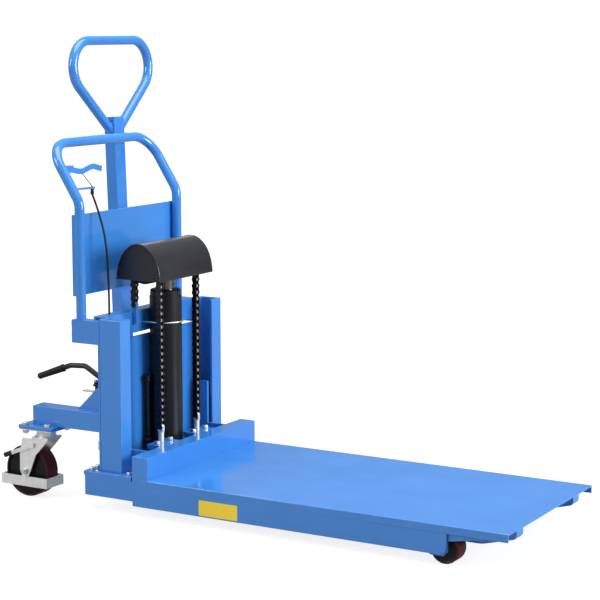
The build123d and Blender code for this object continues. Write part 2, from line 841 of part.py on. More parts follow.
# Front chain runs from the carriage studs up to the sheaves
with BuildPart() as chain_front:
    for name, side in sides:
        chain(front_pins, side * chain_side, 0, front_pins[1:-1])
        end_pin(front_pins[0], side * chain_side)
keep(chain_front.part, "chain_front")

# Rear chain runs from the mast anchors up to the sheaves
with BuildPart() as chain_rear:
    for name, side in sides:
        chain(rear_pins, side * chain_side, 0, rear_pins[1:-1])
        end_pin(rear_pins[0], side * chain_side)
keep(chain_rear.part, "chain_rear")

# Chain over the sheaves
with BuildPart() as chain_wrap:
    for name, side in sides:
        chain(wrap_pins, side * chain_side, link_play, wrap_pins)
keep(chain_wrap.part, "chain_wrap")

# Rear chain anchors on the top beam's front face
with BuildPart() as chain_anchors:
    for name, side in sides:
        y = side * chain_side
        eye(rear_pins[0], y, anchor_pin - anchor_height)
        block((mast_rear, rear_pins[0][0]), (y - eye_width / 2, y + eye_width / 2),
              (anchor_pin - anchor_height, mast_height))
    block((mast_rear - top_beam_depth, mast_rear), (-bracket_inner, bracket_inner),
          (top_beam_bottom, mast_height), Mode.SUBTRACT)
keep(chain_anchors.part, "chain_anchors")

# Chain lugs welded behind the cross beam
with BuildPart() as chain_lugs:
    for name, side in sides:
        block((beam_rear - lug_depth, beam_rear), (side * lug_inner, side * lug_outer),
              (beam_top - lug_thickness, beam_top))
        bar((front_pins[0][0], side * chain_side, beam_top - lug_thickness), (0, 0, 1),
            stud_radius + stud_play, lug_thickness, Mode.SUBTRACT)
keep(chain_lugs.part, "chain_lugs")

# Chain studs with their eyes and nuts
with BuildPart() as chain_studs:
    stud_x = front_pins[0][0]
    stud_foot = beam_top - lug_thickness - stud_below
    for name, side in sides:
        y = side * chain_side
        bar((stud_x, y, stud_foot), (0, 0, 1), stud_radius, stud_pin - eye_drop - stud_foot)
        eye(front_pins[0], y, stud_pin - eye_drop)
        hexagon((stud_x, y, beam_top - lug_thickness), (0, 0, -1), stud_nut, stud_nut_height)
keep(chain_studs.part, "chain_studs")

# Bolts through the chain lugs
with BuildPart() as lug_bolts:
    for name, side in sides:
        for spread in (-lug_bolt_spread, lug_bolt_spread):
            hexagon((beam_rear - lug_bolt_setback, side * chain_side + spread, beam_top), (0, 0, 1),
                    bolt_flat, bolt_head)
keep(lug_bolts.part, "lug_bolts")

# Carriage plates that reach into the mast, with stub axles for the guide rollers
with BuildPart() as carriage_plates:
    for name, side in sides:
        profile((
            (beam_rear, carriage_foot),
            (beam_rear, carriage_step),
            (guide_x + carriage_half, carriage_step),
            (guide_x + carriage_half, carriage_head),
            (guide_x - carriage_half, carriage_head),
            (guide_x - carriage_half, carriage_foot),
        ), side * (carriage_inner + carriage_outer) / 2 - carriage_plate / 2, carriage_plate)
        for step, z in steps:
            bar((guide_x, side * carriage_outer, z), (0, side, 0), guide_axle_radius,
                guide_gap + guide_width)
keep(carriage_plates.part, "carriage_plates")

# Guide rollers that run inside the uprights
for name, side in sides:
    for step, z in steps:
        with BuildPart() as guide_roller:
            bar((guide_x, side * guide_inner, z), (0, side, 0), guide_radius, guide_width)
            bar((guide_x, side * guide_inner, z), (0, side, 0), guide_axle_radius + running_fit,
                guide_width, Mode.SUBTRACT)
        keep(guide_roller.part, f"guide_roller_{name}_{step}")

# Caster arms behind the mast, each with a gusset on top
for name, side in sides:
    with BuildPart() as caster_arm:
        block((arm_rear, back_plate_rear), (side * mast_inner, side * mast_outer), (arm_bottom, arm_top))
        block((arm_rear + arm_wall, back_plate_rear),
              (side * (mast_inner + arm_wall), side * (mast_outer - arm_wall)),
              (arm_bottom + arm_wall, arm_top - arm_wall), Mode.SUBTRACT)
        profile((
            (back_plate_rear, arm_top),
            (back_plate_rear, arm_top + gusset_height),
            (back_plate_rear - gusset_length, arm_top),
        ), side * arm_middle - gusset_thickness / 2, gusset_thickness)
    keep(caster_arm.part, f"caster_arm_{name}")

# Pads under the arms, to which the casters are bolted
with BuildPart() as caster_pads:
    for name, side in sides:
        with BuildSketch(Plane.XY.offset(pad_bottom)):
            with Locations((caster_x, side * arm_middle)):
                RectangleRounded(pad_length, pad_width, pad_corner)
        extrude(amount=pad_thickness)
keep(caster_pads.part, "caster_pads")

# Top plates of the casters, bored for the kingpins
with BuildPart() as caster_plates:
    for name, side in sides:
        with BuildSketch(Plane.XY.offset(caster_plate_bottom)):
            with Locations((caster_x, side * arm_middle)):
                Rectangle(pad_length - 2 * caster_plate_margin, pad_width - 2 * caster_plate_margin)
                Circle(kingpin_radius + running_fit, mode=Mode.SUBTRACT)
        extrude(amount=caster_plate)
keep(caster_plates.part, "caster_plates")

# Swivel forks with kingpin, axle, toe guard and brake pin
for name, side in sides:
    with BuildPart() as caster_fork:
        y = side * arm_middle
        bar((caster_x, y, crown_top), (0, 0, 1), race_radius, race_height)
        bar((caster_x, y, race_top), (0, 0, 1), kingpin_radius, caster_plate)
        block((caster_x - crown_half, caster_x + crown_half), (y - fork_outer, y + fork_outer),
              (crown_bottom, crown_top))
        for start in (-fork_outer, fork_inner):
            profile((
                (caster_axle_x - fork_foot / 2, crown_bottom),
                (caster_x + crown_half, crown_bottom),
                (caster_axle_x + fork_waist, wheel_radius + fork_rise),
                (caster_axle_x + fork_foot, wheel_radius),
                (caster_axle_x + fork_foot / 2, wheel_radius - fork_foot),
                (caster_axle_x - fork_foot / 2, wheel_radius - fork_foot),
                (caster_axle_x - fork_foot, wheel_radius),
                (caster_axle_x - fork_foot, wheel_radius + fork_rise),
            ), y + start, fork_plate)
        bar((caster_axle_x, y - fork_outer, wheel_radius), (0, 1, 0), caster_axle_radius, 2 * fork_outer)
        with BuildSketch(Plane.XY.offset(guard_bottom)):
            with Locations((caster_axle_x, y)):
                Rectangle(guard_length, guard_width)
                Rectangle(guard_length - 2 * guard_wall, guard_width - 2 * guard_wall, mode=Mode.SUBTRACT)
        extrude(amount=guard_height)
        for turn in (-1, 1):
            block((caster_axle_x - guard_tab / 2, caster_axle_x + guard_tab / 2),
                  (y + turn * fork_inner, y + turn * guard_width / 2),
                  (wheel_radius - fork_foot, guard_bottom + guard_height))
        bar((brake_x, y - fork_outer, brake_pivot_height), (0, -1, 0), brake_pin_radius,
            brake_gap + brake_plate)
    keep(caster_fork.part, f"caster_fork_{name}")

# Caster wheels
for name, side in sides:
    with BuildPart() as caster_wheel:
        with BuildSketch(Plane(origin=(caster_axle_x, side * arm_middle, wheel_radius), x_dir=(0, 0, 1),
                               z_dir=(1, 0, 0))):
            bore = caster_axle_radius + running_fit
            half = wheel_width / 2
            Polygon(
                (bore, -half),
                (wheel_radius - wheel_chamfer, -half),
                (wheel_radius, -half + wheel_chamfer),
                (wheel_radius, half - wheel_chamfer),
                (wheel_radius - wheel_chamfer, half),
                (bore, half),
                align=None)
        revolve(axis=Axis((caster_axle_x, 0, wheel_radius), (0, 1, 0)))
    keep(caster_wheel.part, f"caster_wheel_{name}")

# Brake levers on the outer side of the forks
for name, side in sides:
    with BuildPart() as brake_lever:
        y = side * arm_middle - brake_inner
        with BuildSketch(Plane.XZ.offset(-y)):
            with Locations(Location((brake_x, brake_pivot_height, 0), (0, 0, brake_drop))):
                Rectangle(brake_length, brake_width, align=(Align.MAX, Align.CENTER))
                Circle(brake_boss)
                Circle(brake_pin_radius + running_fit, mode=Mode.SUBTRACT)
        extrude(amount=brake_plate)
    keep(brake_lever.part, f"brake_lever_{name}")

# Mounts on the push bar's near leg: ears for the release lever and a stop for its cable
with BuildPart() as lever_mounts:
    ear = lever_plate / 2 + lever_gap
    ear_end = lever_boss - lever_pin_side
    block((lever_x - ear - lever_ear, lever_x + ear + lever_ear), (-bar_side + tube_radius / 2, ear_end),
          (lever_height - lever_boss, lever_height + lever_boss))
    block((lever_x - ear, lever_x + ear), (-lever_pin_side - lever_boss - lever_gap, ear_end),
          (lever_height - lever_boss, lever_height + lever_boss), Mode.SUBTRACT)
    bar((lever_x - ear, -lever_pin_side, lever_height), (1, 0, 0), lever_pin_radius, 2 * ear)
    with BuildSketch(Plane.XY.offset(stop_height)):
        Polygon(
            (stop_x, -bar_side),
            (ferrule_x + stop_width / 2, -stop_side - stop_width / 2),
            (ferrule_x + stop_width / 2, -stop_side + stop_width / 2),
            (ferrule_x - stop_width / 2, -stop_side + stop_width / 2),
            (stop_x - stop_width / 2, -bar_side + tube_radius),
            align=None)
        with Locations((ferrule_x, -stop_side)):
            Circle(cable_radius, mode=Mode.SUBTRACT)
    extrude(amount=stop_plate)
    add(push_bar.part, mode=Mode.SUBTRACT)
keep(lever_mounts.part, "lever_mounts")

# Release lever, a waved flat bar
with BuildPart() as release_lever:
    with BuildSketch(Plane.YZ.offset(lever_x)):
        with BuildLine() as wave:
            FilletPolyline(
                (-lever_pin_side, lever_height),
                (lever_sag_at - lever_pin_side, lever_height - lever_sag),
                (lever_crest_at - lever_pin_side, lever_height + lever_crest),
                (lever_reach - lever_pin_side, lever_height - lever_droop),
                radius=lever_bend)
        trace(wave.line, line_width=lever_width)
        with Locations((-lever_pin_side, lever_height)):
            Circle(lever_boss)
            Circle(lever_pin_radius + running_fit, mode=Mode.SUBTRACT)
    extrude(amount=lever_plate / 2, both=True)
keep(release_lever.part, "release_lever")

# Release cable from the stop down through the top beam to the pump
with BuildPart() as release_cable:
    cable_start = stop_height - ferrule_length
    with BuildLine() as cable_path:
        FilletPolyline(
            (ferrule_x, -stop_side, cable_start),
            (mast_rear - cable_shoulder_back, -stop_side, cable_shoulder),
            (cable_x, -stop_side, cable_straight),
            (cable_x, -stop_side, cable_end),
            (cable_x, -pump_side, cable_end),
            radius=(cable_sweep, cable_sweep, cable_elbow))
    with BuildSketch(Plane(origin=cable_path.line @ 0, z_dir=cable_path.line % 0)):
        Circle(cable_radius)
    sweep(path=cable_path.line)
    bar((ferrule_x, -stop_side, cable_start), (0, 0, 1), ferrule_radius, ferrule_length)
keep(release_cable.part, "release_cable")

# Foot pedal: hub and bent rod
with BuildPart() as foot_pedal:
    with BuildLine() as pedal_path:
        FilletPolyline(
            (pedal_x, -pedal_side, pedal_height),
            (pedal_x - pedal_knee_back, -pedal_side, pedal_height + pedal_knee_up),
            (pedal_x - pedal_crest_back, -pedal_side, pedal_height + pedal_crest_up),
            (pedal_x - pedal_shoulder_back, -pedal_side, pedal_height + pedal_shoulder_up),
            (pedal_x - pedal_tip_back, -pedal_side, pedal_height + pedal_tip_up),
            radius=pedal_bend)
    with BuildSketch(Plane(origin=pedal_path.line @ 0, z_dir=pedal_path.line % 0)):
        Circle(pedal_rod_radius)
    sweep(path=pedal_path.line)
    bar((pedal_x, -pedal_side - pedal_hub_width / 2, pedal_height), (0, 1, 0), pedal_hub_radius,
        pedal_hub_width)
    bar((pedal_x, -pedal_side - pedal_hub_width / 2, pedal_height), (0, 1, 0),
        pedal_pin_radius + running_fit, pedal_hub_width, Mode.SUBTRACT)
keep(foot_pedal.part, "foot_pedal")

# Rubber grip over the pedal's end
with BuildPart() as pedal_grip:
    outward = pedal_path.line % 1
    tip = pedal_path.line @ 1
    start = tip + outward * (grip_cap - grip_length)
    bar(start, outward, grip_radius, grip_length)
    bar(start, outward, pedal_rod_radius, grip_length - grip_cap, Mode.SUBTRACT)
keep(pedal_grip.part, "pedal_grip")

# Tow handle: a post with a foot hub and a bent loop on top, leaning back
with BuildPart() as tow_handle:
    block((handle_x - handle_depth / 2, handle_x + handle_depth / 2),
          (handle_side - handle_width / 2, handle_side + handle_width / 2), (handle_foot, handle_height))
    bar((handle_x, handle_side - handle_width / 2, handle_foot), (0, 1, 0), handle_hub_radius, handle_width)
    bar((handle_x, handle_side - handle_width / 2, handle_foot), (0, 1, 0),
        handle_pin_radius + running_fit, handle_width, Mode.SUBTRACT)
    with BuildLine() as loop_path:
        FilletPolyline(
            (handle_x, handle_side - loop_root, loop_foot),
            (handle_x, handle_side - loop_reach, loop_level),
            (handle_x, handle_side + loop_reach, loop_level),
            (handle_x, handle_side + loop_root, loop_foot),
            radius=loop_corner)
    with BuildSketch(Plane(origin=loop_path.line @ 0, z_dir=loop_path.line % 0)):
        Circle(tube_radius)
    sweep(path=loop_path.line)
    block((handle_x - handle_depth / 2 + handle_wall, handle_x + handle_depth / 2 - handle_wall),
          (handle_side - handle_width / 2 + handle_wall, handle_side + handle_width / 2 - handle_wall),
          (handle_foot + handle_hub_radius, handle_height), Mode.SUBTRACT)
keep(tow_handle.part.rotate(Axis((handle_x, 0, handle_foot), (0, 1, 0)), -handle_rake), "tow_handle")

# Pin on the far caster arm that carries the tow handle
with BuildPart() as tow_pin:
    hub_outer = handle_side + handle_width / 2 + handle_gap
    hub_inner = handle_side - handle_width / 2 - handle_gap
    bar((handle_x, mast_inner, handle_foot), (0, -1, 0), handle_collar, mast_inner - hub_outer)
    bar((handle_x, hub_outer, handle_foot), (0, -1, 0), handle_pin_radius, hub_outer - hub_inner)
    bar((handle_x, hub_inner, handle_foot), (0, -1, 0), handle_collar, handle_cap)
keep(tow_pin.part, "tow_pin")

# Bolts that hold the mast feet, the push bar and the casters
with BuildPart() as frame_bolts:
    plate_front = mast_front + base_plate_ahead
    for name, side in sides:
        for x in (plate_front - base_bolt_end, plate_front - base_plate_length + base_bolt_end):
            for inward in (base_bolt_outer, base_bolt_inner):
                hexagon((x, side * (leg_outer - inward), mast_foot), (0, 0, 1), bolt_flat, bolt_head)
        for drop in (bracket_bolt_high, bracket_bolt_low):
            hexagon((bracket_rear, side * bar_side, bracket_top - drop), (-1, 0, 0), bolt_flat, bolt_head)
        bolt_x = pad_length / 2 - pad_bolt_end
        bolt_y = pad_width / 2 - pad_bolt_side
        for x in (caster_x - bolt_x, caster_x + bolt_x):
            for y in (side * arm_middle - bolt_y, side * arm_middle + bolt_y):
                hexagon((x, y, arm_bottom), (0, 0, 1), bolt_flat, bolt_head)
keep(frame_bolts.part, "frame_bolts")
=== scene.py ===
import logging
from dataclasses import dataclass
from enum import Enum
from math import atan2, cos, hypot, pi, radians, sin
from typing import Callable, Sequence

import bmesh
import bpy
from mathutils import Euler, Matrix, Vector


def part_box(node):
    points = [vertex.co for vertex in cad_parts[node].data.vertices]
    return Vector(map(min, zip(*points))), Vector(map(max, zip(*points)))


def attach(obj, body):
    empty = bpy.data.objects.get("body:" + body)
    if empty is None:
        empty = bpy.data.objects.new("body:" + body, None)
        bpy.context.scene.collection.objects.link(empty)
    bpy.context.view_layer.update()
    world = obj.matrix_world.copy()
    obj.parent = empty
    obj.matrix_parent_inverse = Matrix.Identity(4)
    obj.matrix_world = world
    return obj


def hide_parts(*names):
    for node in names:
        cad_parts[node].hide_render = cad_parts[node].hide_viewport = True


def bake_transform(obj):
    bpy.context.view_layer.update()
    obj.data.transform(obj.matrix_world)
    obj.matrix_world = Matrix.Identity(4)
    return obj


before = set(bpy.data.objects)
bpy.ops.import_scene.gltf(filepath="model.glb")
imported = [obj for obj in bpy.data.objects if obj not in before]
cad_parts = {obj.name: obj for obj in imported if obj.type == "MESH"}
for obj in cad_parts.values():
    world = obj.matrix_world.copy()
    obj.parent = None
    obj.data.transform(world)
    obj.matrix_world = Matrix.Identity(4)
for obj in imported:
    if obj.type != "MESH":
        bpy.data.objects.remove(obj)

LOG = logging.getLogger("platform_lift_truck")
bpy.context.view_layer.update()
MM = 0.001
TINY = 1e-7
SHARP_ANGLE = radians(35)
CORNER_STEPS = 5
HEXAGON = 6
SLIMMER = 0.16 * MM
ACROSS = Vector((0, 1, 0))
UPWARD = Vector((0, 0, 1))

Node = bpy.types.Node
Socket = bpy.types.NodeSocket
Outputs = bpy.types.NodeOutputs
Colour = tuple[float, float, float, float]
Place = tuple[float, float, float]
Range = tuple[float, float]
Feed = float | tuple | Socket
Profile = Sequence[tuple[float, float]]


def mm(*points: tuple[float, float]) -> Profile:
    """Profile, in metres, from the radius and place of its points in millimetres."""
    return tuple((radius * MM, along * MM) for radius, along in points)


class Side(Enum):
    """The machine's two sides, by the word that ends the names of their pieces."""

    NEAR = "near"
    FAR = "far"


class Run(Enum):
    """The stretches of a lift chain. Two that slide into each other differ in size, so that no faces coincide."""

    STUD_END = ("front_chain_stud_end", "platform", 0.0)
    SHEAVE_END = ("front_chain_sheave_end", "crosshead_unit", SLIMMER)
    WRAP = ("sheave_chain", "crosshead_unit", 0.0)
    ANCHOR_END = ("rear_chain_anchor_end", "frame", 0.0)
    RISING_END = ("rear_chain_rising_end", "crosshead_unit", SLIMMER)

    def __init__(self, piece: str, body: str, slimming: float) -> None:
        """Keep the piece's name, its body and how much slimmer its links are, in metres."""
        self.piece, self.body, self.slimming = piece, body, slimming


class Graph:
    """Short calls that add, set and feed the nodes of one tree."""

    def __init__(self, tree: bpy.types.NodeTree) -> None:
        """Keep the tree to work on."""
        self.tree = tree

    def feed(self, node: Node, feeds: dict[int | str, Feed]) -> None:
        """Set or link a node's inputs.

        Args:
            node: The node.
            feeds: Value or socket for each input that isn't left as it is.
        """
        for key, value in feeds.items():
            if isinstance(value, Socket):
                self.tree.links.new(value, node.inputs[key])
            else:
                node.inputs[key].default_value = value

    def add(self, kind: str, feeds: dict[int | str, Feed] | None = None, **settings: object) -> Node:
        """Add one node.

        Args:
            kind: Blender's name for the node's type.
            feeds: Value or socket for each input that isn't left as it is.
            settings: The node's own properties.

        Returns:
            The new node.
        """
        node = self.tree.nodes.new(kind)
        for name, value in settings.items():
            setattr(node, name, value)
        self.feed(node, feeds or {})
        return node

    def maths(self, operation: str, first: Feed, second: Feed) -> Socket:
        """Join two values by one of the Math node's operations."""
        return self.add("ShaderNodeMath", {0: first, 1: second}, operation=operation).outputs[0]

    def tint(self, mask: Feed, low: Feed, high: Feed) -> Socket:
        """Mix two colours, where the mask is the share of the second one."""
        return self.add("ShaderNodeMix", {0: mask, 6: low, 7: high}, data_type="RGBA").outputs[2]

    def spread(self, value: Feed, of: Range, to: Range = (0.0, 1.0)) -> Socket:
        """Stretch a range of values onto another one, which the result stays inside."""
        feeds = {"Value": value, "From Min": of[0], "From Max": of[1], "To Min": to[0], "To Max": to[1]}
        return self.add("ShaderNodeMapRange", feeds).outputs["Result"]

    def noise(self, scale: Feed, detail: float, place: Socket | None = None) -> Socket:
        """Add a noise of so many cells to the metre, over the machine's own or other coordinates."""
        where = place or self.add("ShaderNodeTexCoord").outputs["Object"]
        return self.add("ShaderNodeTexNoise", {"Vector": where, "Scale": scale, "Detail": detail}).outputs[0]

    def bump(self, height: Socket, strength: float, distance: float) -> Socket:
        """Bend the normal by a height between 0 and 1, where 1 stands for a distance in metres."""
        feeds = {"Height": height, "Strength": strength, "Distance": distance}
        return self.add("ShaderNodeBump", feeds).outputs[0]


@dataclass(frozen=True)
class Effect:
    """A look that several finishes share, kept as one shader node group with named sockets."""

    name: str
    inputs: tuple[tuple[str, float], ...]
    outputs: tuple[str, ...]
    wire: Callable[[Graph, Outputs], dict[str, Socket]]

    def tree(self) -> bpy.types.NodeTree:
        """Make the group on first use.

        Returns:
            The group's tree.
        """
        made = bpy.data.node_groups.get(self.name)
        if made:
            return made
        tree = bpy.data.node_groups.new(self.name, "ShaderNodeTree")
        for label, value in self.inputs:
            tree.interface.new_socket(label, in_out="INPUT", socket_type="NodeSocketFloat").default_value = value
        for label in self.outputs:
            tree.interface.new_socket(label, in_out="OUTPUT", socket_type="NodeSocketFloat")
        graph = Graph(tree)
        entry = graph.add("NodeGroupInput")
        graph.add("NodeGroupOutput", self.wire(graph, entry.outputs))
        return tree

    def place(self, graph: Graph, **values: float) -> Outputs:
        """Put the group into a material, with its inputs by name, and return its outputs."""
        return graph.add("ShaderNodeGroup", values, node_tree=self.tree()).outputs


def wire_peel(graph: Graph, entry: Outputs) -> dict[str, Socket]:
    """Wire the orange-peel skin of paint: its fine height and its broad cloudy tone."""
    return {"Height": graph.noise(entry["Scale"], detail=1.0), "Tone": graph.noise(scale=5.0, detail=3.0)}


def wire_edges(graph: Graph, entry: Outputs) -> dict[str, Socket]:
    """Wire a broken mask along edges.

    Args:
        graph: Nodes of the group.
        entry: The group's inputs.

    Returns:
        Mask of the rubbed edges.
    """
    rounded_off = graph.add("ShaderNodeBevel", {"Radius": entry["Radius"]}, samples=4).outputs[0]
    plain = graph.add("ShaderNodeNewGeometry").outputs["Normal"]
    likeness = graph.add("ShaderNodeVectorMath", {0: rounded_off, 1: plain}, operation="DOT_PRODUCT").outputs["Value"]
    edge = graph.spread(likeness, of=(0.985, 0.90))
    broken = graph.spread(graph.noise(scale=70.0, detail=5.0), of=(0.50, 0.66))
    return {"Mask": graph.maths("MULTIPLY", graph.maths("MULTIPLY", edge, broken), entry["Amount"])}


def wire_dust(graph: Graph, entry: Outputs) -> dict[str, Socket]:
    """Wire a thin uneven layer of dust on faces that look up.

    Args:
        graph: Nodes of the group.
        entry: The group's inputs.

    Returns:
        Mask of the dust.
    """
    normal = graph.add("ShaderNodeNewGeometry").outputs["Normal"]
    facing_up = graph.add("ShaderNodeSeparateXYZ", {0: normal}).outputs["Z"]
    settled = graph.spread(facing_up, of=(0.4, 1.0))
    cloudy = graph.spread(graph.noise(scale=9.0, detail=6.0), of=(0.35, 0.75))
    return {"Mask": graph.maths("MULTIPLY", graph.maths("MULTIPLY", settled, cloudy), entry["Amount"])}


def wire_streaks(graph: Graph, entry: Outputs) -> dict[str, Socket]:
    """Wire drawn or turned streaks, and the blotches of plating.

    Args:
        graph: Nodes of the group.
        entry: The group's inputs.

    Returns:
        Height of the streaks and tone of the blotches.
    """
    where = graph.add("ShaderNodeTexCoord").outputs["Object"]
    axes = {0: entry["Along"], 1: entry["Across"], 2: entry["Across"]}
    stretch = graph.add("ShaderNodeCombineXYZ", axes).outputs[0]
    drawn = graph.add("ShaderNodeVectorMath", {0: where, 1: stretch}, operation="MULTIPLY").outputs["Vector"]
    return {"Height": graph.noise(1.0, detail=3.0, place=drawn), "Tone": graph.noise(scale=38.0, detail=4.0)}


PEEL = Effect("paint_peel", (("Scale", 700.0),), ("Height", "Tone"), wire_peel)
EDGES = Effect("rubbed_edges", (("Radius", 1.2 * MM), ("Amount", 1.0)), ("Mask",), wire_edges)
DUST = Effect("settled_dust", (("Amount", 0.1),), ("Mask",), wire_dust)
STREAKS = Effect("drawn_streaks", (("Along", 30.0), ("Across", 900.0)), ("Height", "Tone"), wire_streaks)
CLOUD = (0.3, 0.7)


def shade(colour: Colour, factor: float) -> Colour:
    """Darken or lighten a colour by a factor."""
    return tuple(min(1.0, channel * factor) for channel in colour[:3]) + (1.0,)


def around(value: float, swing: float) -> Range:
    """Range about a value, as a share of it to either side."""
    return value * (1 - swing), value * (1 + swing)


@dataclass(frozen=True)
class Finish:
    """A surface finish, which makes its material once."""

    name: str
    slot: str
    colour: Colour

    def material(self) -> bpy.types.Material:
        """Make the finish's material on first use.

        Returns:
            The material.
        """
        made = bpy.data.materials.get(self.name)
        if made:
            return made
        material = bpy.data.materials.new(self.name)
        material.use_nodes = True
        material.diffuse_color = self.colour
        material.node_tree.nodes.clear()
        graph = Graph(material.node_tree)
        shader = graph.add("ShaderNodeBsdfPrincipled")
        graph.add("ShaderNodeOutputMaterial", {"Surface": shader.outputs[0]})
        graph.feed(shader, self.feeds(graph))
        return material

    def feeds(self, graph: Graph) -> dict[str, Feed]:
        """Wire the finish's own nodes and return what feeds each input of the shader."""
        raise NotImplementedError(self.name)


@dataclass(frozen=True)
class Paint(Finish):
    """Sprayed paint over steel: cloudy tone, orange peel, rubbed edges and dust."""

    roughness: float = 0.16
    peel_scale: float = 700.0
    peel_depth: float = 0.05
    peel_height: float = 0.4 * MM
    rub: float = 0.35
    rub_dulls: float = 0.2
    bare: Colour = (0.42, 0.42, 0.43, 1.0)
    dust: float = 0.05
    dust_dulls: float = 0.35
    dust_colour: Colour = (0.62, 0.62, 0.60, 1.0)
    mirror: float = 0.5
    tones: Range = (0.93, 1.05)
    gloss_swing: float = 0.2

    def feeds(self, graph: Graph) -> dict[str, Feed]:
        """Wire the paint.

        Args:
            graph: The material's nodes.

        Returns:
            Value or socket for each input of the shader.
        """
        peel = PEEL.place(graph, Scale=self.peel_scale)
        rubbed = EDGES.place(graph, Amount=self.rub)["Mask"]
        dusty = DUST.place(graph, Amount=self.dust)["Mask"]
        cloud = graph.spread(peel["Tone"], CLOUD)
        film = graph.tint(cloud, *(shade(self.colour, tone) for tone in self.tones))
        worn = graph.tint(rubbed, film, self.bare)
        gloss = graph.spread(cloud, (0.0, 1.0), around(self.roughness, self.gloss_swing))
        dulled = graph.maths("ADD", gloss, graph.maths("MULTIPLY", dusty, self.dust_dulls))
        return {
            "Base Color": graph.tint(dusty, worn, self.dust_colour),
            "Roughness": graph.maths("ADD", dulled, graph.maths("MULTIPLY", rubbed, self.rub_dulls)),
            "Specular IOR Level": self.mirror,
            "Normal": graph.bump(peel["Height"], self.peel_depth, self.peel_height),
        }


@dataclass(frozen=True)
class Metal(Finish):
    """Bare or plated metal: drawn streaks, blotches and brighter worn edges."""

    tarnish: Colour = (0.30, 0.30, 0.31, 1.0)
    blotch: float = 0.35
    blotch_range: Range = (0.42, 0.72)
    blotch_dulls: float = 0.35
    roughness: float = 0.28
    gloss_swing: float = 0.2
    along: float = 30.0
    across: float = 900.0
    streak: float = 0.06
    streak_height: float = 0.2 * MM
    rub: float = 0.6
    rub_radius: float = 0.8 * MM
    rub_tone: float = 1.15

    def feeds(self, graph: Graph) -> dict[str, Feed]:
        """Wire the metal.

        Args:
            graph: The material's nodes.

        Returns:
            Value or socket for each input of the shader.
        """
        drawn = STREAKS.place(graph, Along=self.along, Across=self.across)
        rubbed = EDGES.place(graph, Amount=self.rub, Radius=self.rub_radius)["Mask"]
        blotches = graph.spread(drawn["Tone"], self.blotch_range, (0.0, self.blotch))
        plated = graph.tint(blotches, self.colour, self.tarnish)
        rough = graph.spread(drawn["Height"], CLOUD, around(self.roughness, self.gloss_swing))
        return {
            "Base Color": graph.tint(rubbed, plated, shade(self.colour, self.rub_tone)),
            "Metallic": 1.0,
            "Roughness": graph.maths("ADD", rough, graph.maths("MULTIPLY", blotches, self.blotch_dulls)),
            "Normal": graph.bump(drawn["Height"], self.streak, self.streak_height),
        }


@dataclass(frozen=True)
class Moulded(Finish):
    """Moulded rubber, polyurethane or plastic: pores, scuffs and dust."""

    roughness: float = 0.5
    gloss_swing: float = 0.1
    pore_scale: float = 1500.0
    pore_depth: float = 0.12
    pore_height: float = 0.3 * MM
    scuff: float = 0.25
    scuff_radius: float = 1.5 * MM
    scuff_colour: Colour = (0.12, 0.11, 0.11, 1.0)
    dust: float = 0.06
    mirror: float = 0.25
    tones: Range = (0.85, 1.15)

    def feeds(self, graph: Graph) -> dict[str, Feed]:
        """Wire the moulding.

        Args:
            graph: The material's nodes.

        Returns:
            Value or socket for each input of the shader.
        """
        pores = PEEL.place(graph, Scale=self.pore_scale)
        rubbed = EDGES.place(graph, Amount=self.scuff, Radius=self.scuff_radius)["Mask"]
        dusty = DUST.place(graph, Amount=self.dust)["Mask"]
        cloud = graph.spread(pores["Tone"], CLOUD)
        body = graph.tint(cloud, *(shade(self.colour, tone) for tone in self.tones))
        return {
            "Base Color": graph.tint(graph.maths("MAXIMUM", rubbed, dusty), body, self.scuff_colour),
            "Roughness": graph.spread(cloud, (0.0, 1.0), around(self.roughness, self.gloss_swing)),
            "Specular IOR Level": self.mirror,
            "Normal": graph.bump(pores["Height"], self.pore_depth, self.pore_height),
        }


BLUE = Paint(
    "blue_powder_coat", "blue_paint", (0.042, 0.228, 0.65, 1.0), roughness=0.13, peel_scale=650.0, peel_depth=0.018,
    rub=0.10, bare=(0.20, 0.42, 0.80, 1.0), dust=0.02, mirror=0.75)
CYLINDER_BLACK = Paint(
    "gloss_black_cylinder", "black_paint", (0.005, 0.005, 0.006, 1.0), roughness=0.34, peel_scale=500.0,
    peel_depth=0.04, rub=0.15, dust=0.02, mirror=0.3)
COVER_BLACK = Paint(
    "satin_charcoal_cover", "black_paint", (0.012, 0.012, 0.017, 1.0), roughness=0.27, peel_scale=900.0,
    peel_depth=0.06, rub=0.25, dust=0.02)
PEDAL_BLACK = Paint(
    "worn_black_rod", "black_paint", (0.010, 0.010, 0.011, 1.0), roughness=0.3, peel_scale=600.0, peel_depth=0.10,
    rub=0.9, mirror=0.35)
YELLOW = Paint(
    "plain_yellow_film", "blue_paint", (1.0, 0.72, 0.04, 1.0), roughness=0.35, peel_scale=1200.0, peel_depth=0.02,
    rub=0.0)
ZINC = Metal("bright_zinc", "zinc", (0.74, 0.75, 0.77, 1.0))
TURNED = Metal(
    "turned_oiled_steel", "turned_steel", (0.52, 0.52, 0.53, 1.0), roughness=0.32, along=900.0, across=120.0)
GALVANISED = Metal(
    "galvanised_sheet", "zinc", (0.90, 0.90, 0.89, 1.0), tarnish=(0.58, 0.59, 0.60, 1.0), blotch=0.4, roughness=0.48,
    along=40.0, across=300.0)
# Chrome darkened far below bright chrome: painted shade for the rod, which sits in the shadow under the cover.
CHROME_PAINTED_SHADE = Metal(
    "chrome_with_painted_shade", "hard_chrome", (0.15, 0.15, 0.16, 1.0), blotch=0.05, roughness=0.12, streak=0.02)
LINK_BLACK = Metal(
    "oiled_black_link", "oiled_chain", (0.055, 0.050, 0.046, 1.0), tarnish=(0.02, 0.018, 0.016, 1.0), roughness=0.32)
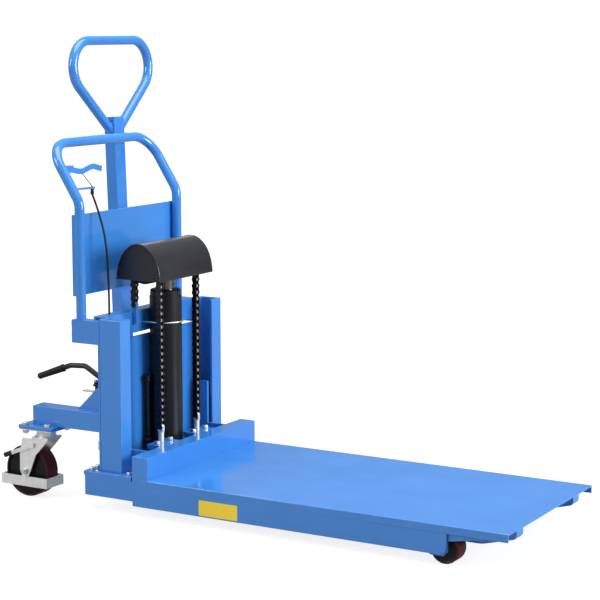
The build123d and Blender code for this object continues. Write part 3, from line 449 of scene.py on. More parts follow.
# Rollers get a bright copy of the oiled chain metal: a painted highlight for the bright spots on each roller.
ROLLER_PAINTED_HIGHLIGHT = Metal(
    "chain_roller_painted_highlight", "oiled_chain", (0.80, 0.79, 0.77, 1.0), tarnish=(0.20, 0.18, 0.17, 1.0), roughness=0.26)
MAROON = Moulded(
    "maroon_polyurethane", "polyurethane", (0.085, 0.012, 0.018, 1.0), roughness=0.40, pore_scale=900.0,
    pore_depth=0.08, scuff=0.2, scuff_colour=(0.12, 0.04, 0.045, 1.0), mirror=0.15)
CORE_BLACK = Moulded(
    "black_wheel_core", "polyurethane", (0.004, 0.004, 0.005, 1.0), roughness=0.45, pore_scale=700.0,
    pore_depth=0.12, scuff=0.15, scuff_colour=(0.05, 0.045, 0.045, 1.0))
RUBBER = Moulded(
    "black_moulded_rubber", "rubber_grip", (0.013, 0.013, 0.014, 1.0), roughness=0.55, pore_scale=1300.0,
    pore_depth=0.25, scuff=0.15)
SHEATH = Moulded(
    "black_cable_sheath", "cable_sheath", (0.014, 0.014, 0.015, 1.0), roughness=0.42, pore_scale=1600.0,
    pore_depth=0.08, scuff=0.1)


@dataclass(frozen=True)
class EdgeBreak:
    """A small rounding of a plate's or bar's sharp edges, made by modifiers that leave its mesh alone."""

    width: float
    segments: int = 2
    weld_gap: float = 0.004 * MM
    flat_angle: float = radians(0.4)
    edge_angle: float = radians(42)

    def soften(self, piece: bpy.types.Object) -> None:
        """Round a piece's edges.

        Args:
            piece: Object to put the modifiers on.
        """
        weld = piece.modifiers.new("join_faces", "WELD")
        weld.merge_threshold = self.weld_gap
        plain = piece.modifiers.new("plain_faces", "DECIMATE")
        plain.decimate_type = "DISSOLVE"
        plain.angle_limit = self.flat_angle
        rounding = piece.modifiers.new("broken_edges", "BEVEL")
        rounding.width = self.width
        rounding.segments = self.segments
        rounding.limit_method = "ANGLE"
        rounding.angle_limit = self.edge_angle
        rounding.harden_normals = False
        piece.modifiers.new("even_shading", "WEIGHTED_NORMAL").keep_sharp = False


PLATE_EDGE = EdgeBreak(0.9 * MM)
FOLD_EDGE = EdgeBreak(2.2 * MM, 3)
FINE_EDGE = EdgeBreak(0.5 * MM)
BOLT_EDGE = EdgeBreak(1.3 * MM)


def dress(names: Sequence[str], finish: Finish, edge: EdgeBreak | None = None) -> None:
    """Give CAD nodes their finish.

    Args:
        names: The nodes.
        finish: Finish for all of them.
        edge: Rounding of their edges, where they are plates or bars.
    """
    for name in names:
        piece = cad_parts[name]
        piece.material_slots[0].material = finish.material()
        if edge:
            edge.soften(piece)
        LOG.info("dressed %s in %s", name, finish.name)


def pair(stem: str) -> list[str]:
    """Names of a node that both sides have."""
    return [f"{stem}_{side.value}" for side in Side]


def middle(node: str) -> Vector:
    """Middle of a CAD node's box."""
    low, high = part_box(node)
    return (low + high) / 2


class Shape:
    """A mesh under construction, in metres in the machine's frame."""

    def __init__(self) -> None:
        """Start an empty mesh."""
        self.mesh = bmesh.new()

    def skin(self, rings: Sequence[Sequence[Vector]], finish: int = 0, caps: bool = False) -> None:
        """Stretch a skin over rings of points.

        Args:
            rings: Rings with one and the same number of points, or a single point at a pole.
            finish: Place of its finish in the piece's list.
            caps: Whether the first and the last ring are closed by a face.
        """
        loops = [[self.mesh.verts.new(point) for point in ring] for ring in rings]
        steps = max(len(ring) for ring in loops)
        made = []
        for low, high in zip(loops, loops[1:]):
            for k in range(steps):
                j = (k + 1) % steps
                corners = (low[k % len(low)], low[j % len(low)], high[j % len(high)], high[k % len(high)])
                corners = list(dict.fromkeys(corners))
                if len(corners) > 2:
                    made.append(self.mesh.faces.new(corners))
        if caps:
            made += [self.mesh.faces.new(loop) for loop in (loops[0], loops[-1]) if len(loop) > 2]
        for face in made:
            face.smooth = True
            face.material_index = finish

    def lathe(self, profile: Profile, origin: Vector, axis: Vector, steps: int, finish: int = 0) -> None:
        """Turn a profile about an axis.

        Args:
            profile: Radius and place along the axis of each point.
            origin: Where the axis starts.
            axis: Its direction.
            steps: Points round each ring.
            finish: Place of its finish in the piece's list.
        """
        axis = axis.normalized()
        out = axis.orthogonal().normalized()
        up = axis.cross(out)
        turns = [2 * pi * k / steps for k in range(steps)]
        rings = []
        for radius, along in profile:
            centre = origin + axis * along
            if radius < TINY:
                rings.append([centre])
            else:
                rings.append([centre + (out * cos(t) + up * sin(t)) * radius for t in turns])
        self.skin(rings, finish)

    def prism(self, outline: Sequence[Vector], depth: Vector, finish: int = 0) -> None:
        """Raise a flat outline into a plate, whose thickness is given as a direction."""
        self.skin([outline, [point + depth for point in outline]], finish, caps=True)

    def piece(self, name: str, body: str, finishes: Sequence[Finish], *nodes: str) -> bpy.types.Object:
        """Close the mesh and make a piece of it.

        Args:
            name: The piece's name.
            body: Body that it rides on, or nothing for a piece that is attached to no body.
            finishes: Its finishes, in the order of the faces' numbers.
            nodes: CAD nodes that it stands for.

        Returns:
            The piece.
        """
        bmesh.ops.remove_doubles(self.mesh, verts=self.mesh.verts, dist=TINY)
        bmesh.ops.recalc_face_normals(self.mesh, faces=self.mesh.faces)
        data = bpy.data.meshes.new(name)
        self.mesh.to_mesh(data)
        self.mesh.free()
        data.set_sharp_from_angle(angle=SHARP_ANGLE)
        piece = bpy.data.objects.new(name, data)
        bpy.context.scene.collection.objects.link(piece)
        for finish in finishes:
            data.materials.append(finish.material())
        if body:
            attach(piece, body)
        if nodes:
            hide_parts(*nodes)
        LOG.info("built %s on %s", name, body or "a blend of bodies")
        return piece


def rounded(width: float, height: float, corner: float) -> list[tuple[float, float]]:
    """Outline of a rectangle with round corners.

    Args:
        width: Full width.
        height: Full height.
        corner: Radius of its corners.

    Returns:
        Points about the rectangle's middle.
    """
    points = []
    for turn, (u, v) in enumerate(((1, 1), (-1, 1), (-1, -1), (1, -1))):
        centre_u, centre_v = u * (width / 2 - corner), v * (height / 2 - corner)
        for k in range(CORNER_STEPS):
            angle = (turn + k / (CORNER_STEPS - 1)) * pi / 2
            points.append((centre_u + corner * cos(angle), centre_v + corner * sin(angle)))
    return points


class Assembly:
    """A sub-assembly: pieces that are built in mesh code, and CAD nodes that are dressed."""

    def build(self) -> None:
        """Build the pieces that are made in mesh code."""

    def dress(self) -> None:
        """Give the CAD nodes their finishes."""


@dataclass
class Deck(Assembly):
    """Deck sheet with its skirts, under-beams and cross beam, and a plain film on the near skirt."""

    film_length: float = 122 * MM
    film_height: float = 42 * MM
    film_corner: float = 3 * MM
    film_middle: float = -45 * MM
    film_level: float = 52 * MM
    film_thickness: float = 0.25 * MM

    def build(self) -> None:
        """Build the plain yellow film."""
        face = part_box("deck_skirts")[0].y
        outline = rounded(self.film_length, self.film_height, self.film_corner)
        points = [Vector((self.film_middle + u, face, self.film_level + v)) for u, v in outline]
        shape = Shape()
        shape.prism(points, -ACROSS * self.film_thickness)
        shape.piece("skirt_film", "platform", [YELLOW])

    def dress(self) -> None:
        """Paint the deck."""
        dress(["deck_plate", "deck_skirts", "carriage_beam"], BLUE, PLATE_EDGE)
        dress(["deck_forks"], BLUE, FOLD_EDGE)


@dataclass
class Roller:
    """A lathed wheel: a core with a recessed web and a bevelled tread."""

    radius: float
    width: float
    bore: float
    hub: float
    core: float
    recess: float
    bevel: float
    hub_bevel: float = 1 * MM
    hub_slope: float = 2 * MM
    web_edge: float = 4 * MM
    rim_edge: float = 1.5 * MM
    rim_drop: float = 1.2 * MM
    seam: float = 0.6 * MM
    bevel_steps: int = 6

    def build(self, name: str, body: str, node: str) -> None:
        """Build one wheel about its axle, which lies along Y.

        Args:
            name: Name of the piece.
            body: Body that it rides on.
            node: CAD node that it stands for.
        """
        half = self.width / 2
        web = half - self.recess
        side = [
            (self.bore, half), (self.hub - self.hub_bevel, half), (self.hub, half - self.hub_bevel),
            (self.hub + self.hub_slope, web), (self.core - self.web_edge, web),
            (self.core - self.rim_edge, half - self.rim_drop), (self.core, half - self.seam),
        ]
        core = [(self.bore, -half)] + [(r, -a) for r, a in side[1:]] + side[::-1] + [(self.bore, -half)]
        crown = [(self.core, half - self.seam), (self.core + self.seam, half)]
        for k in range(self.bevel_steps + 1):
            angle = k / self.bevel_steps * pi / 2
            crown.append((self.radius - self.bevel * (1 - sin(angle)), half - self.bevel * (1 - cos(angle))))
        tread = [(r, -a) for r, a in crown] + crown[::-1] + [(self.core, -half + self.seam)]
        shape = Shape()
        shape.lathe(core, middle(node), ACROSS, steps=64, finish=1)
        shape.lathe(tread, middle(node), ACROSS, steps=72, finish=0)
        shape.piece(name, body, [MAROON, CORE_BLACK], node)


@dataclass
class Base(Assembly):
    """Base legs, cross member, mast foot plates and load rollers."""

    roller: Roller

    def build(self) -> None:
        """Build the load rollers."""
        for word in (side.value for side in Side):
            self.roller.build(f"load_wheel_tread_{word}", f"load_wheel_{word}", f"load_roller_{word}")

    def dress(self) -> None:
        """Paint the base and plate its axles."""
        dress(pair("base_leg") + ["base_cross_member", "base_plates"], BLUE, PLATE_EDGE)
        dress(["load_axles"], ZINC)


@dataclass
class Mast(Assembly):
    """Mast uprights, back plate, top beam and push bar brackets."""

    bolt_edge: EdgeBreak = BOLT_EDGE

    def dress(self) -> None:
        """Paint the mast and plate its bolts."""
        dress(pair("mast_upright"), BLUE, FOLD_EDGE)
        dress(["mast_back_plate", "mast_top_beam", "handle_brackets", "chain_anchors"], BLUE, PLATE_EDGE)
        dress(["frame_bolts"], ZINC, self.bolt_edge)


@dataclass
class Carriage(Assembly):
    """Carriage plates, chain lugs, chain studs and guide rollers."""

    bolt_edge: EdgeBreak = BOLT_EDGE

    def dress(self) -> None:
        """Paint the carriage, and plate or turn its small parts."""
        dress(["carriage_plates", "chain_lugs"], BLUE, PLATE_EDGE)
        dress(["lug_bolts"], ZINC, self.bolt_edge)
        dress(["chain_studs"], GALVANISED, FINE_EDGE)
        dress([f"{name}_{step}" for name in pair("guide_roller") for step in ("low", "high")], TURNED)


@dataclass
class Lift(Assembly):
    """Hydraulic cylinder, pump, crosshead, sheaves and their cover."""

    rim: float = 1.4 * MM
    rim_inset: float = 1.0 * MM
    rim_steps: int = 48
    rim_sides: int = 10
    hose_end: Profile = mm((0, 0), (12, 0), (12, 14), (11, 15), (9, 16), (9, 30), (7.5, 31))
    valve_at: Place = (-0.608, -0.080, 0.296)
    arm_back: float = 9 * MM
    arm_sunk: float = 2 * MM
    arm_width: float = 14 * MM
    arm_thickness: float = 6 * MM
    tab_drop: float = 18 * MM
    tab_ends: Range = (-46 * MM, -4 * MM)
    tab_width: float = 20 * MM
    tab_thickness: float = 4 * MM
    bar_corner: float = 3 * MM
    stem: float = 5 * MM
    cap: Profile = mm((5, 6), (8, 6), (8, 13), (0, 13))
    nut: Profile = mm((0, 13), (7.5, 13), (7.5, 19), (0, 19))

    def build(self) -> None:
        """Build the cover's rims, the oil hose and the release valve."""
        self.rims()
        self.oil_hose()
        self.valve()

    def rims(self) -> None:
        """Build the folded rims along the cover's two arched edges."""
        low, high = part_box("chain_cover")
        middle_x, reach, rise = (low.x + high.x) / 2, (high.x - low.x) / 2, high.z - low.z
        turns = [2 * pi * k / self.rim_sides for k in range(self.rim_sides)]
        shape = Shape()
        for y in (low.y + self.rim_inset, high.y - self.rim_inset):
            rings = []
            for k in range(self.rim_steps + 1):
                angle = pi * k / self.rim_steps
                x = middle_x + (reach - self.rim_inset) * cos(angle)
                spine = Vector((x, y, low.z + (rise - self.rim_inset) * sin(angle)))
                out = Vector((rise * cos(angle), 0, reach * sin(angle))).normalized()
                rings.append([spine + (out * cos(t) + ACROSS * sin(t)) * self.rim for t in turns])
            shape.skin(rings, caps=True)
        shape.piece("cover_rims", "crosshead_unit", [COVER_BLACK])

    def oil_hose(self) -> None:
        """Build the hose beside the cylinder, with its two screwed fittings."""
        low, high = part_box("oil_tube")
        foot = Vector(((low.x + high.x) / 2, (low.y + high.y) / 2, low.z))
        far_end = [(radius, high.z - low.z - along) for radius, along in self.hose_end[::-1]]
        shape = Shape()
        shape.lathe([*self.hose_end, *far_end], foot, UPWARD, steps=32)
        shape.piece("oil_hose", "frame", [CYLINDER_BLACK], "oil_tube")

    def valve(self) -> None:
        """Build the pump's release valve on its arm, with a small foot tab."""
        place = Vector(self.valve_at)
        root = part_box("pump_body")[0].x + self.arm_sunk
        tab_from, tab_to = (place.x + end for end in self.tab_ends)
        tab = place - UPWARD * self.tab_drop
        shape = Shape()
        self.bar(shape, (place.x - self.arm_back, root), place, self.arm_width, self.arm_thickness)
        self.bar(shape, (tab_from, tab_to), tab, self.tab_width, self.tab_thickness, finish=1)
        stem = [(0, -self.tab_drop), (self.stem, -self.tab_drop), *self.cap]
        shape.lathe(stem, place, UPWARD, steps=24)
        shape.lathe(self.nut, place, UPWARD, HEXAGON, finish=1)
        shape.piece("release_valve", "frame", [PEDAL_BLACK, ZINC])

    def bar(self, shape: Shape, ends: Range, level: Vector, width: float, thickness: float, finish: int = 0) -> None:
        """Add a flat bar along X.

        Args:
            shape: Mesh to add it to.
            ends: X of its rear and of its front end.
            level: Point that gives the middle of its width and its underside.
            width: Its width.
            thickness: Its thickness.
            finish: Place of its finish in the piece's list.
        """
        start, end = ends
        outline = rounded(end - start, width, self.bar_corner)
        points = [Vector(((start + end) / 2 + u, level.y + v, level.z)) for u, v in outline]
        shape.prism(points, UPWARD * thickness, finish)

    def dress(self) -> None:
        """Paint, plate and polish the lift; the polished rod's chrome colour is darkened as painted shade."""
        dress(["cylinder_tube", "cylinder_gland"], CYLINDER_BLACK)
        dress(["pump_block", "crosshead"], CYLINDER_BLACK, PLATE_EDGE)
        dress(["chain_cover"], COVER_BLACK, FINE_EDGE)
        dress(["pump_body"], BLUE, FOLD_EDGE)
        # The rod's chrome carries painted shade: its colour is darkened.
        dress(["piston_rod"], CHROME_PAINTED_SHADE)
        dress(["cylinder_clamp", "sheave_axle"], ZINC)
        dress(pair("chain_sheave"), CYLINDER_BLACK)


@dataclass
class Chains(Assembly):
    """Two roller chains, each of separate plates, rollers and pins."""

    pitch: float = 19.05 * MM
    wrap_links: int = 7
    inner_face: float = 5.9 * MM
    plate: float = 1.8 * MM
    plate_gap: float = 0.1 * MM
    height: float = 16.0 * MM
    waist_turn: float = radians(132)
    arc_half_steps: int = 6
    roller: float = 6.0 * MM
    roller_gap: float = 0.15 * MM
    roller_bevel: float = 0.4 * MM
    pin: float = 2.9 * MM
    pin_head: float = 0.9 * MM
    rivet_bevel: float = 0.5 * MM
    rivet_face: float = 0.6

    def build(self) -> None:
        """Build every run of both chains."""
        low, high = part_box("chain_front")
        rear_low, rear_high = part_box("chain_rear")
        sheave = middle("chain_sheave_near").z
        front_x, rear_x = (low.x + high.x) / 2, (rear_low.x + rear_high.x) / 2
        stud = low.z + self.height / 2
        anchor = rear_low.z + self.height / 2
        front_count = round((sheave - stud) / self.pitch)
        rear_count = round((sheave - anchor) / self.pitch)
        stay = front_count - rear_count
        axle_x, radius = (front_x + rear_x) / 2, (front_x - rear_x) / 2
        front = [(front_x, stud + k * self.pitch) for k in range(front_count + 1)]
        turns = [pi * k / self.wrap_links for k in range(self.wrap_links + 1)]
        wrap = [(axle_x + radius * cos(t), sheave + radius * sin(t)) for t in turns]
        rear = [(rear_x, sheave - k * self.pitch) for k in range(rear_count + 1)]
        parity = front_count + self.wrap_links
        self.run(Run.STUD_END, front[:stay + 1], 0, "chain_front")
        self.run(Run.SHEAVE_END, front[front_count - stay:], front_count - stay)
        self.run(Run.WRAP, wrap, front_count, "chain_wrap")
        self.run(Run.ANCHOR_END, rear, parity, "chain_rear")
        self.run(Run.RISING_END, rear, parity)

    def run(self, run: Run, pins: Profile, first: int, *nodes: str) -> None:
        """Build one run on both sides.

        Args:
            run: Which run it is.
            pins: X and Z of its pins, in order.
            first: Number of its first link, counted from the stud.
            nodes: CAD nodes that it stands for.
        """
        shape = Shape()
        for sheave in pair("chain_sheave"):
            y = middle(sheave).y
            for k, ends in enumerate(zip(pins, pins[1:])):
                self.link(shape, ends, y, (first + k) % 2 == 0, run.slimming)
            for x, z in pins:
                self.joint(shape, Vector((x, y, z)), run.slimming)
        shape.piece(run.piece, run.body, [LINK_BLACK, ROLLER_PAINTED_HIGHLIGHT], *nodes)

    def link(self, shape: Shape, ends: Profile, y: float, inner: bool, slimming: float) -> None:
        """Add the two plates of one link.

        Args:
            shape: Mesh to add them to.
            ends: X and Z of the link's two pins.
            y: Middle of the chain.
            inner: Whether it is an inner link.
            slimming: How much slimmer than full size it is.
        """
        (x0, z0), (x1, z1) = ends
        heading = atan2(z1 - z0, x1 - x0)
        radius = self.height / 2 - slimming
        outline = []
        for (x, z), facing in ((ends[1], heading), (ends[0], heading + pi)):
            for k in range(2 * self.arc_half_steps + 1):
                angle = facing + self.waist_turn * (k / self.arc_half_steps - 1)
                outline.append((x + radius * cos(angle), z + radius * sin(angle)))
        near = self.inner_face + (0 if inner else self.plate + self.plate_gap) + slimming
        far = near + self.plate - 2 * slimming
        for sign in (-1, 1):
            points = [Vector((x, y + sign * near, z)) for x, z in outline]
            shape.prism(points, ACROSS * (sign * (far - near)))

    def joint(self, shape: Shape, centre: Vector, slimming: float) -> None:
        """Add the roller and the riveted pin of one joint.

        Args:
            shape: Mesh to add them to.
            centre: Middle of the joint.
            slimming: How much slimmer than full size it is.
        """
        half, radius, bevel = self.inner_face - self.roller_gap, self.roller - slimming, self.roller_bevel
        roll = [(self.pin, -half), (radius - bevel, -half), (radius, -half + bevel),
                (radius, half - bevel), (radius - bevel, half), (self.pin, half)]
        # The roller takes the second finish, the bright copy of the chain metal that paints its highlight.
        shape.lathe(roll, centre, ACROSS, steps=24, finish=1)
        end = self.inner_face + 2 * self.plate + self.pin_head - slimming
        pin, bevel = self.pin - slimming, self.rivet_bevel
        face = pin * self.rivet_face
        rivet = [(0, -end), (face, -end), (pin, -end + bevel), (pin, end - bevel), (face, end), (0, end)]
        shape.lathe(rivet, centre, ACROSS, steps=14)


@dataclass
class Casters(Assembly):
    """Caster arms, pads, swivel forks, wheels and brake levers."""

    wheel: Roller
    fork_gap: float = 3 * MM
    fork_plate: float = 5 * MM
    nut: float = 17 * MM
    nut_height: float = 7 * MM
    nut_bevel: float = 0.9 * MM
    nut_face: float = 0.94
    washer: float = 12 * MM
    washer_height: float = 1.4 * MM
    bolt: float = 5 * MM
    bolt_past: float = 3 * MM
    bolt_bevel: float = 0.8 * MM
    bolt_face: float = 4 * MM
    bolt_along: float = 38 * MM
    bolt_across: float = 46 * MM
    tip_length: float = 28 * MM
    tip_width: float = 9 * MM
    tip_height: float = 14 * MM
    tip_corner: float = 0.32
    tip_past: float = 1 * MM
    tip_rise: float = 4.5 * MM
    tip_rings: Profile = ((1.0, 0.92), (0.97, 1.0), (0.5, 0.97), (0.12, 1.0), (0.04, 0.9), (0.0, 0.62))
    brake_drop: float = radians(22)

    def build(self) -> None:
        """Build the wheels, their nuts, the nuts under the pads and the brake tips."""
        for word in (side.value for side in Side):
            self.wheel.build(f"caster_tyre_{word}", f"wheel_{word}", f"caster_wheel_{word}")
            self.axle_nuts(word)
            self.tip(word)
        self.pad_nuts()

    def axle_nuts(self, word: str) -> None:
        """Build the nuts and washers on an axle's two ends.

        Args:
            word: Word for the side.
        """
        shape = Shape()
        half = self.wheel.width / 2 + self.fork_gap + self.fork_plate
        for out in (-ACROSS, ACROSS):
            self.nut_on(shape, middle(f"caster_wheel_{word}") + out * half, out, self.washer)
        shape.piece(f"axle_nuts_{word}", f"caster_{word}", [ZINC])

    def pad_nuts(self) -> None:
        """Build the nuts and bolt ends under the caster plates."""
        shape = Shape()
        low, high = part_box("caster_plates")
        for arm in pair("caster_arm"):
            centre = Vector(((low.x + high.x) / 2, middle(arm).y, low.z))
            for x in (-self.bolt_along, self.bolt_along):
                for y in (-self.bolt_across, self.bolt_across):
                    self.nut_on(shape, centre + Vector((x, y, 0)), -UPWARD, self.nut / 2)
        shape.piece("pad_nuts", "frame", [ZINC])

    def nut_on(self, shape: Shape, foot: Vector, out: Vector, washer: float) -> None:
        """Add a washer, a nut and the bolt's end.

        Args:
            shape: Mesh to add them to.
            foot: Middle of the face that the washer lies on.
            out: Direction away from that face.
            washer: Radius of the washer.
        """
        low, bevel = self.washer_height, self.nut_bevel
        high = low + self.nut_height
        end = high + self.bolt_past
        flat = self.nut / 2 / cos(pi / HEXAGON)
        face = flat * self.nut_face
        shape.lathe([(0, 0), (washer, 0), (washer, low), (0, low)], foot, out, steps=32)
        nut = [(0, low), (face, low), (flat, low + bevel), (flat, high - bevel), (face, high), (0, high)]
        shape.lathe(nut, foot, out, HEXAGON)
        bolt = [(self.bolt, low), (self.bolt, end - self.bolt_bevel), (self.bolt_face, end), (0, end)]
        shape.lathe(bolt, foot, out, steps=20)

    def tip(self, word: str) -> None:
        """Build the black sleeve with a domed end on a brake lever's tip.

        Args:
            word: Word for the side.
        """
        low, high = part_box(f"brake_lever_{word}")
        along = Vector((-cos(self.brake_drop), 0, -sin(self.brake_drop)))
        upright = along.cross(ACROSS)
        tip = Vector((low.x - self.tip_past, (low.y + high.y) / 2, low.z + self.tip_rise))
        rings = []
        for back, scale in self.tip_rings:
            centre = tip - along * self.tip_length * back
            width, height = self.tip_width * scale, self.tip_height * scale
            outline = rounded(width, height, min(width, height) * self.tip_corner)
            rings.append([centre + ACROSS * u + upright * v for u, v in outline])
        shape = Shape()
        shape.skin(rings, caps=True)
        shape.piece(f"brake_tip_{word}", f"brake_{word}", [RUBBER])

    def dress(self) -> None:
        """Paint the arms and plate the casters."""
        dress(pair("caster_arm") + ["caster_pads"], BLUE, PLATE_EDGE)
        dress(["caster_plates"], GALVANISED, PLATE_EDGE)
        dress(pair("caster_fork") + pair("brake_lever"), GALVANISED, FINE_EDGE)


@dataclass
class Release(Assembly):
    """Release lever on the push bar, its cable and the cable's ferrule."""

    route: tuple[Place, ...] = (
        (-0.53217, -0.18775, 0.869), (-0.500, -0.18775, 0.800), (-0.480, -0.18775, 0.690),
        (-0.480, -0.18775, 0.387), (-0.480, -0.18775, 0.270), (-0.480, -0.07075, 0.270))
    cable_length: float = 0.694
    cable_thickness: float = 6 * MM
    ferrule: Profile = mm(
        (3, 0), (4, 0), (5, 1), (5, 8.8), (4.1, 9.6), (4.1, 11.2), (5, 11.84), (5, 16), (2.7, 16), (2.7, 22.5),
        (1.89, 23.5), (0, 23.5))
    wire: float = 1.2 * MM
    wire_parts: int = 8
    wire_sunk: float = 0.5 * MM
    wire_step: Place = (0.0, 7 * MM, 5 * MM)
    lever_edge: EdgeBreak = EdgeBreak(1.8 * MM, 3)

    def build(self) -> None:
        """Build the cable, its ferrule and the pulled wire."""
        start = Vector(self.route[0])
        shape = Shape()
        shape.lathe(self.ferrule, start, UPWARD, steps=28)
        ferrule = shape.piece("cable_ferrule", "frame", [SHEATH])
        self.cable(ferrule)
        self.pull(start + UPWARD * (self.ferrule[-1][1] - self.wire_sunk))

    def cable(self, ferrule: bpy.types.Object) -> None:
        """Build the cable as one smooth spline.

        Args:
            ferrule: The fitting at its start. Not used.
        """
        curve = bpy.data.curves.new("lowering_cable", "CURVE")
        curve.dimensions = "3D"
        curve.bevel_depth = self.cable_thickness / 2
        curve.bevel_resolution = 5
        curve.resolution_u = 24
        curve.use_fill_caps = True
        spline = curve.splines.new("NURBS")
        spline.points.add(len(self.route) - 1)
        for point, place in zip(spline.points, self.route):
            point.co = (*place, 1.0)
        spline.order_u = 3
        spline.use_endpoint_u = True
        curve.materials.append(SHEATH.material())
        cable = bpy.data.objects.new("lowering_cable", curve)
        bpy.context.scene.collection.objects.link(cable)
        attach(cable, "frame")
        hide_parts("release_cable")
        LOG.info("built %s on %s", cable.name, "frame")

    def pull(self, foot: Vector) -> None:
        """Build the bare wire from the ferrule up to the lever.

        Args:
            foot: Where the wire leaves the ferrule.
        """
        low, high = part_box("release_lever")
        head = Vector(((low.x + high.x) / 2, foot.y, low.z)) + Vector(self.wire_step)
        along = head - foot
        rows = [along.length * k / self.wire_parts for k in range(self.wire_parts + 1)]
        shape = Shape()
        shape.lathe([(0, 0)] + [(self.wire, row) for row in rows] + [(0, along.length)], foot, along, steps=10)
        wire = shape.piece("pulled_wire", "", [SHEATH])
        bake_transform(wire)

    def dress(self) -> None:
        """Paint the lever and its mounts."""
        dress(["lever_mounts"], BLUE, FINE_EDGE)
        dress(["release_lever"], BLUE, self.lever_edge)


@dataclass
class PushBar(Assembly):
    """Bent push bar and the guard panel across it."""

    def dress(self) -> None:
        """Paint the bar and the panel."""
        dress(["push_bar"], BLUE)
        dress(["guard_panel"], BLUE, PLATE_EDGE)


@dataclass
class Pedal(Assembly):
    """Pump pedal with its ribbed rubber grip."""

    grip_radius: float = 11.5 * MM
    grip_length: float = 100 * MM
    grip_back: float = 115.0
    grip_fall: float = 43.0
    bore: float = 8 * MM
    collar: Profile = mm((-1, 0), (0, 1.2), (0, 5), (-0.8, 6))
    taper: float = 1.6 * MM
    ribs: int = 27
    ribs_from: float = 7 * MM
    ribs_short: float = 12 * MM
    rib_drop: float = 0.7 * MM
    rib_depth: float = 0.6 * MM
    rib_shares: Place = (0.3, 0.5, 0.8)
    dome: float = 10 * MM
    dome_steps: int = 6

    def build(self) -> None:
        """Build the ribbed grip."""
        length = hypot(self.grip_back, self.grip_fall)
        along = Vector((-self.grip_back / length, 0, -self.grip_fall / length))
        start = middle("pedal_grip") - along * (self.grip_length / 2)
        profile = [(self.bore, 0)] + [(self.grip_radius + out, row) for out, row in self.collar]
        step = (self.grip_length - self.ribs_short - self.ribs_from) / self.ribs
        sunk, risen, full = (step * share for share in self.rib_shares)
        for k in range(self.ribs):
            foot = self.ribs_from + k * step
            crest = self.grip_radius - self.rib_drop - self.taper * k / self.ribs
            valley = crest - self.rib_depth
            profile += [(valley, foot), (valley, foot + sunk), (crest, foot + risen), (crest, foot + full)]
        for k in range(self.dome_steps):
            angle = k / self.dome_steps * pi / 2
            radius = (self.grip_radius - self.taper) * cos(angle) ** 0.5
            profile.append((radius, self.grip_length - self.dome * (1 - sin(angle))))
        profile.append((0, self.grip_length))
        shape = Shape()
        shape.lathe(profile, start, along, steps=40)
        shape.piece("ribbed_pedal_grip", "pedal", [RUBBER], "pedal_grip")

    def dress(self) -> None:
        """Paint the rod."""
        dress(["foot_pedal"], PEDAL_BLACK)


@dataclass
class TowHandle(Assembly):
    """Tow handle with its D-shaped loop, on its pin."""

    def dress(self) -> None:
        """Paint the handle and plate its pin."""
        dress(["tow_handle"], BLUE, FINE_EDGE)
        dress(["tow_pin"], ZINC)


@dataclass(frozen=True)
class Softbox:
    """A soft light, turned to the machine. Its power is in watts."""

    name: str
    place: Place
    width: float
    height: float
    power: float
    target: Place = (0.0, 0.0, 0.4)

    def hang(self) -> None:
        """Hang the light."""
        data = bpy.data.lights.new(self.name, "AREA")
        data.shape = "RECTANGLE"
        data.size = self.width
        data.size_y = self.height
        data.energy = self.power
        light = bpy.data.objects.new(self.name, data)
        light.location = self.place
        light.rotation_euler = (Vector(self.target) - Vector(self.place)).to_track_quat("-Z", "Y").to_euler()
        bpy.context.scene.collection.objects.link(light)


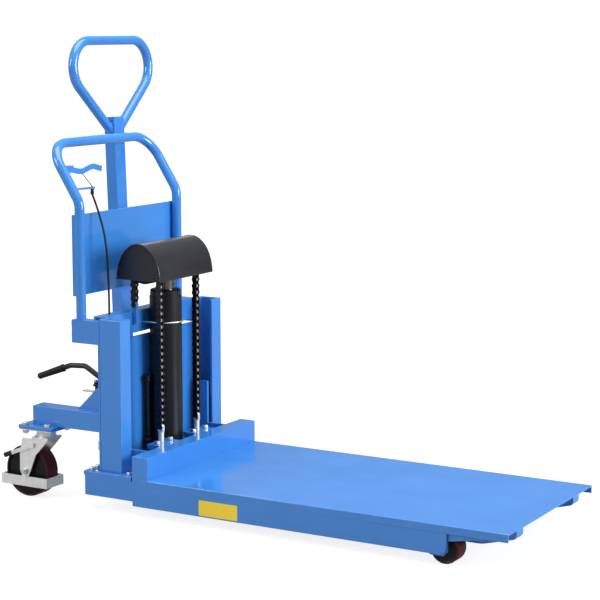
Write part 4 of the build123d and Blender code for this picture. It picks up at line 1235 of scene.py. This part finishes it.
@dataclass
class Studio(Assembly):
    """Plain pale floor, soft lights and the camera."""

    focal_pixels: float = 1819.94
    image_pixels: float = 600.0
    sensor: float = 36.0
    camera_at: Place = (2.51154, -4.29852, 1.33039)
    yaw: float = radians(29.99)
    pitch: float = radians(8.51)
    floor_size: float = 60.0
    floor_colour: Colour = (0.25, 0.25, 0.25, 1.0)
    glow_near: Colour = (0.84, 0.84, 0.84, 1.0)
    glow_far: Colour = (1.0, 1.0, 1.0, 1.0)
    glow_thrown: Colour = (0.20, 0.20, 0.20, 1.0)
    glow_reach: Range = (1.0, 3.0)
    sky_white: Colour = (1.0, 1.0, 1.0, 1.0)
    sky_tint: Colour = (0.96, 0.98, 1.0, 1.0)
    sky_heights: Range = (0.1, 0.8)
    sky_strengths: Range = (0.28, 0.58)
    softboxes: tuple[Softbox, ...] = (
        Softbox("key_softbox", (4.3, 1.2, 1.7), width=2.4, height=1.8, power=202.0),
        Softbox("top_softbox", (0.2, -0.2, 3.6), width=3.4, height=2.2, power=95.0),
        Softbox("near_softbox", (-3.0, -3.55, 2.4), width=2.4, height=1.8, power=84.0),
        Softbox("far_softbox", (-2.6, 2.4, 2.6), width=2.0, height=1.6, power=25.0))

    def build(self) -> None:
        """Build the camera, floor, sky and lights."""
        self.camera()
        self.floor()
        self.world()
        for softbox in self.softboxes:
            softbox.hang()
        bpy.context.scene.view_settings.view_transform = "Standard"

    def camera(self) -> None:
        """Place the camera as it stood for the photograph."""
        lens = bpy.data.cameras.new("photo_camera")
        lens.sensor_width = self.sensor
        lens.lens = self.focal_pixels / self.image_pixels * self.sensor
        lens.clip_end = 200.0
        camera = bpy.data.objects.new("photo_camera", lens)
        camera.location = self.camera_at
        camera.rotation_euler = Euler((pi / 2 - self.pitch, 0, self.yaw))
        bpy.context.scene.collection.objects.link(camera)
        bpy.context.scene.camera = camera

    def floor(self) -> None:
        """Lay the floor, which glows so that its shadows stay faint, and throws less light than it shows."""
        half = self.floor_size / 2
        data = bpy.data.meshes.new("studio_floor")
        data.from_pydata([(-half, -half, 0), (half, -half, 0), (half, half, 0), (-half, half, 0)], [], [(0, 1, 2, 3)])
        floor = bpy.data.objects.new("studio_floor", data)
        bpy.context.scene.collection.objects.link(floor)
        material = bpy.data.materials.new("pale_floor")
        material.use_nodes = True
        graph = Graph(material.node_tree)
        place = graph.add("ShaderNodeTexCoord").outputs["Object"]
        away = graph.add("ShaderNodeVectorMath", {0: place}, operation="LENGTH").outputs["Value"]
        shown = graph.tint(graph.spread(away, self.glow_reach), self.glow_near, self.glow_far)
        seen = graph.add("ShaderNodeLightPath").outputs["Is Camera Ray"]
        graph.feed(material.node_tree.nodes["Principled BSDF"], {
            "Base Color": self.floor_colour,
            "Roughness": 0.9,
            "Specular IOR Level": 0.1,
            "Emission Strength": 1.0,
            "Emission Color": graph.tint(seen, self.glow_thrown, shown),
        })
        data.materials.append(material)

    def world(self) -> None:
        """Make the sky white to the camera, and to the machine bright overhead and dim along the horizon."""
        world = bpy.data.worlds.new("white_studio")
        world.use_nodes = True
        world.node_tree.nodes.clear()
        graph = Graph(world.node_tree)
        seen = graph.add("ShaderNodeLightPath").outputs["Is Camera Ray"]
        white = graph.add("ShaderNodeBackground", {"Color": self.sky_white, "Strength": 1.0})
        place = graph.add("ShaderNodeTexCoord").outputs["Generated"]
        upward = graph.add("ShaderNodeSeparateXYZ", {0: place}).outputs["Z"]
        strength = graph.spread(upward, self.sky_heights, self.sky_strengths)
        dim = graph.add("ShaderNodeBackground", {"Color": self.sky_tint, "Strength": strength})
        both = graph.add("ShaderNodeMixShader", {0: seen, 1: dim.outputs[0], 2: white.outputs[0]})
        graph.add("ShaderNodeOutputWorld", {"Surface": both.outputs[0]})
        bpy.context.scene.world = world


def main() -> None:
    """Build the studio, then every sub-assembly."""
    logging.basicConfig(level=logging.INFO, format="%(name)s: %(message)s")
    load_roller = Roller(
        radius=40 * MM, width=48 * MM, bore=8.1 * MM, hub=14 * MM, core=35 * MM, recess=2.5 * MM, bevel=4 * MM)
    caster_wheel = Roller(
        radius=75 * MM, width=50 * MM, bore=6.1 * MM, hub=19 * MM, core=69.5 * MM, recess=6 * MM, bevel=5 * MM)
    assemblies: list[Assembly] = [
        Studio(), Release(), Deck(), Base(load_roller), Mast(), Carriage(), Lift(), Chains(), Casters(caster_wheel),
        PushBar(), Pedal(), TowHandle()]
    for assembly in assemblies:
        assembly.build()
        assembly.dress()


if __name__ == "__main__":
    main()
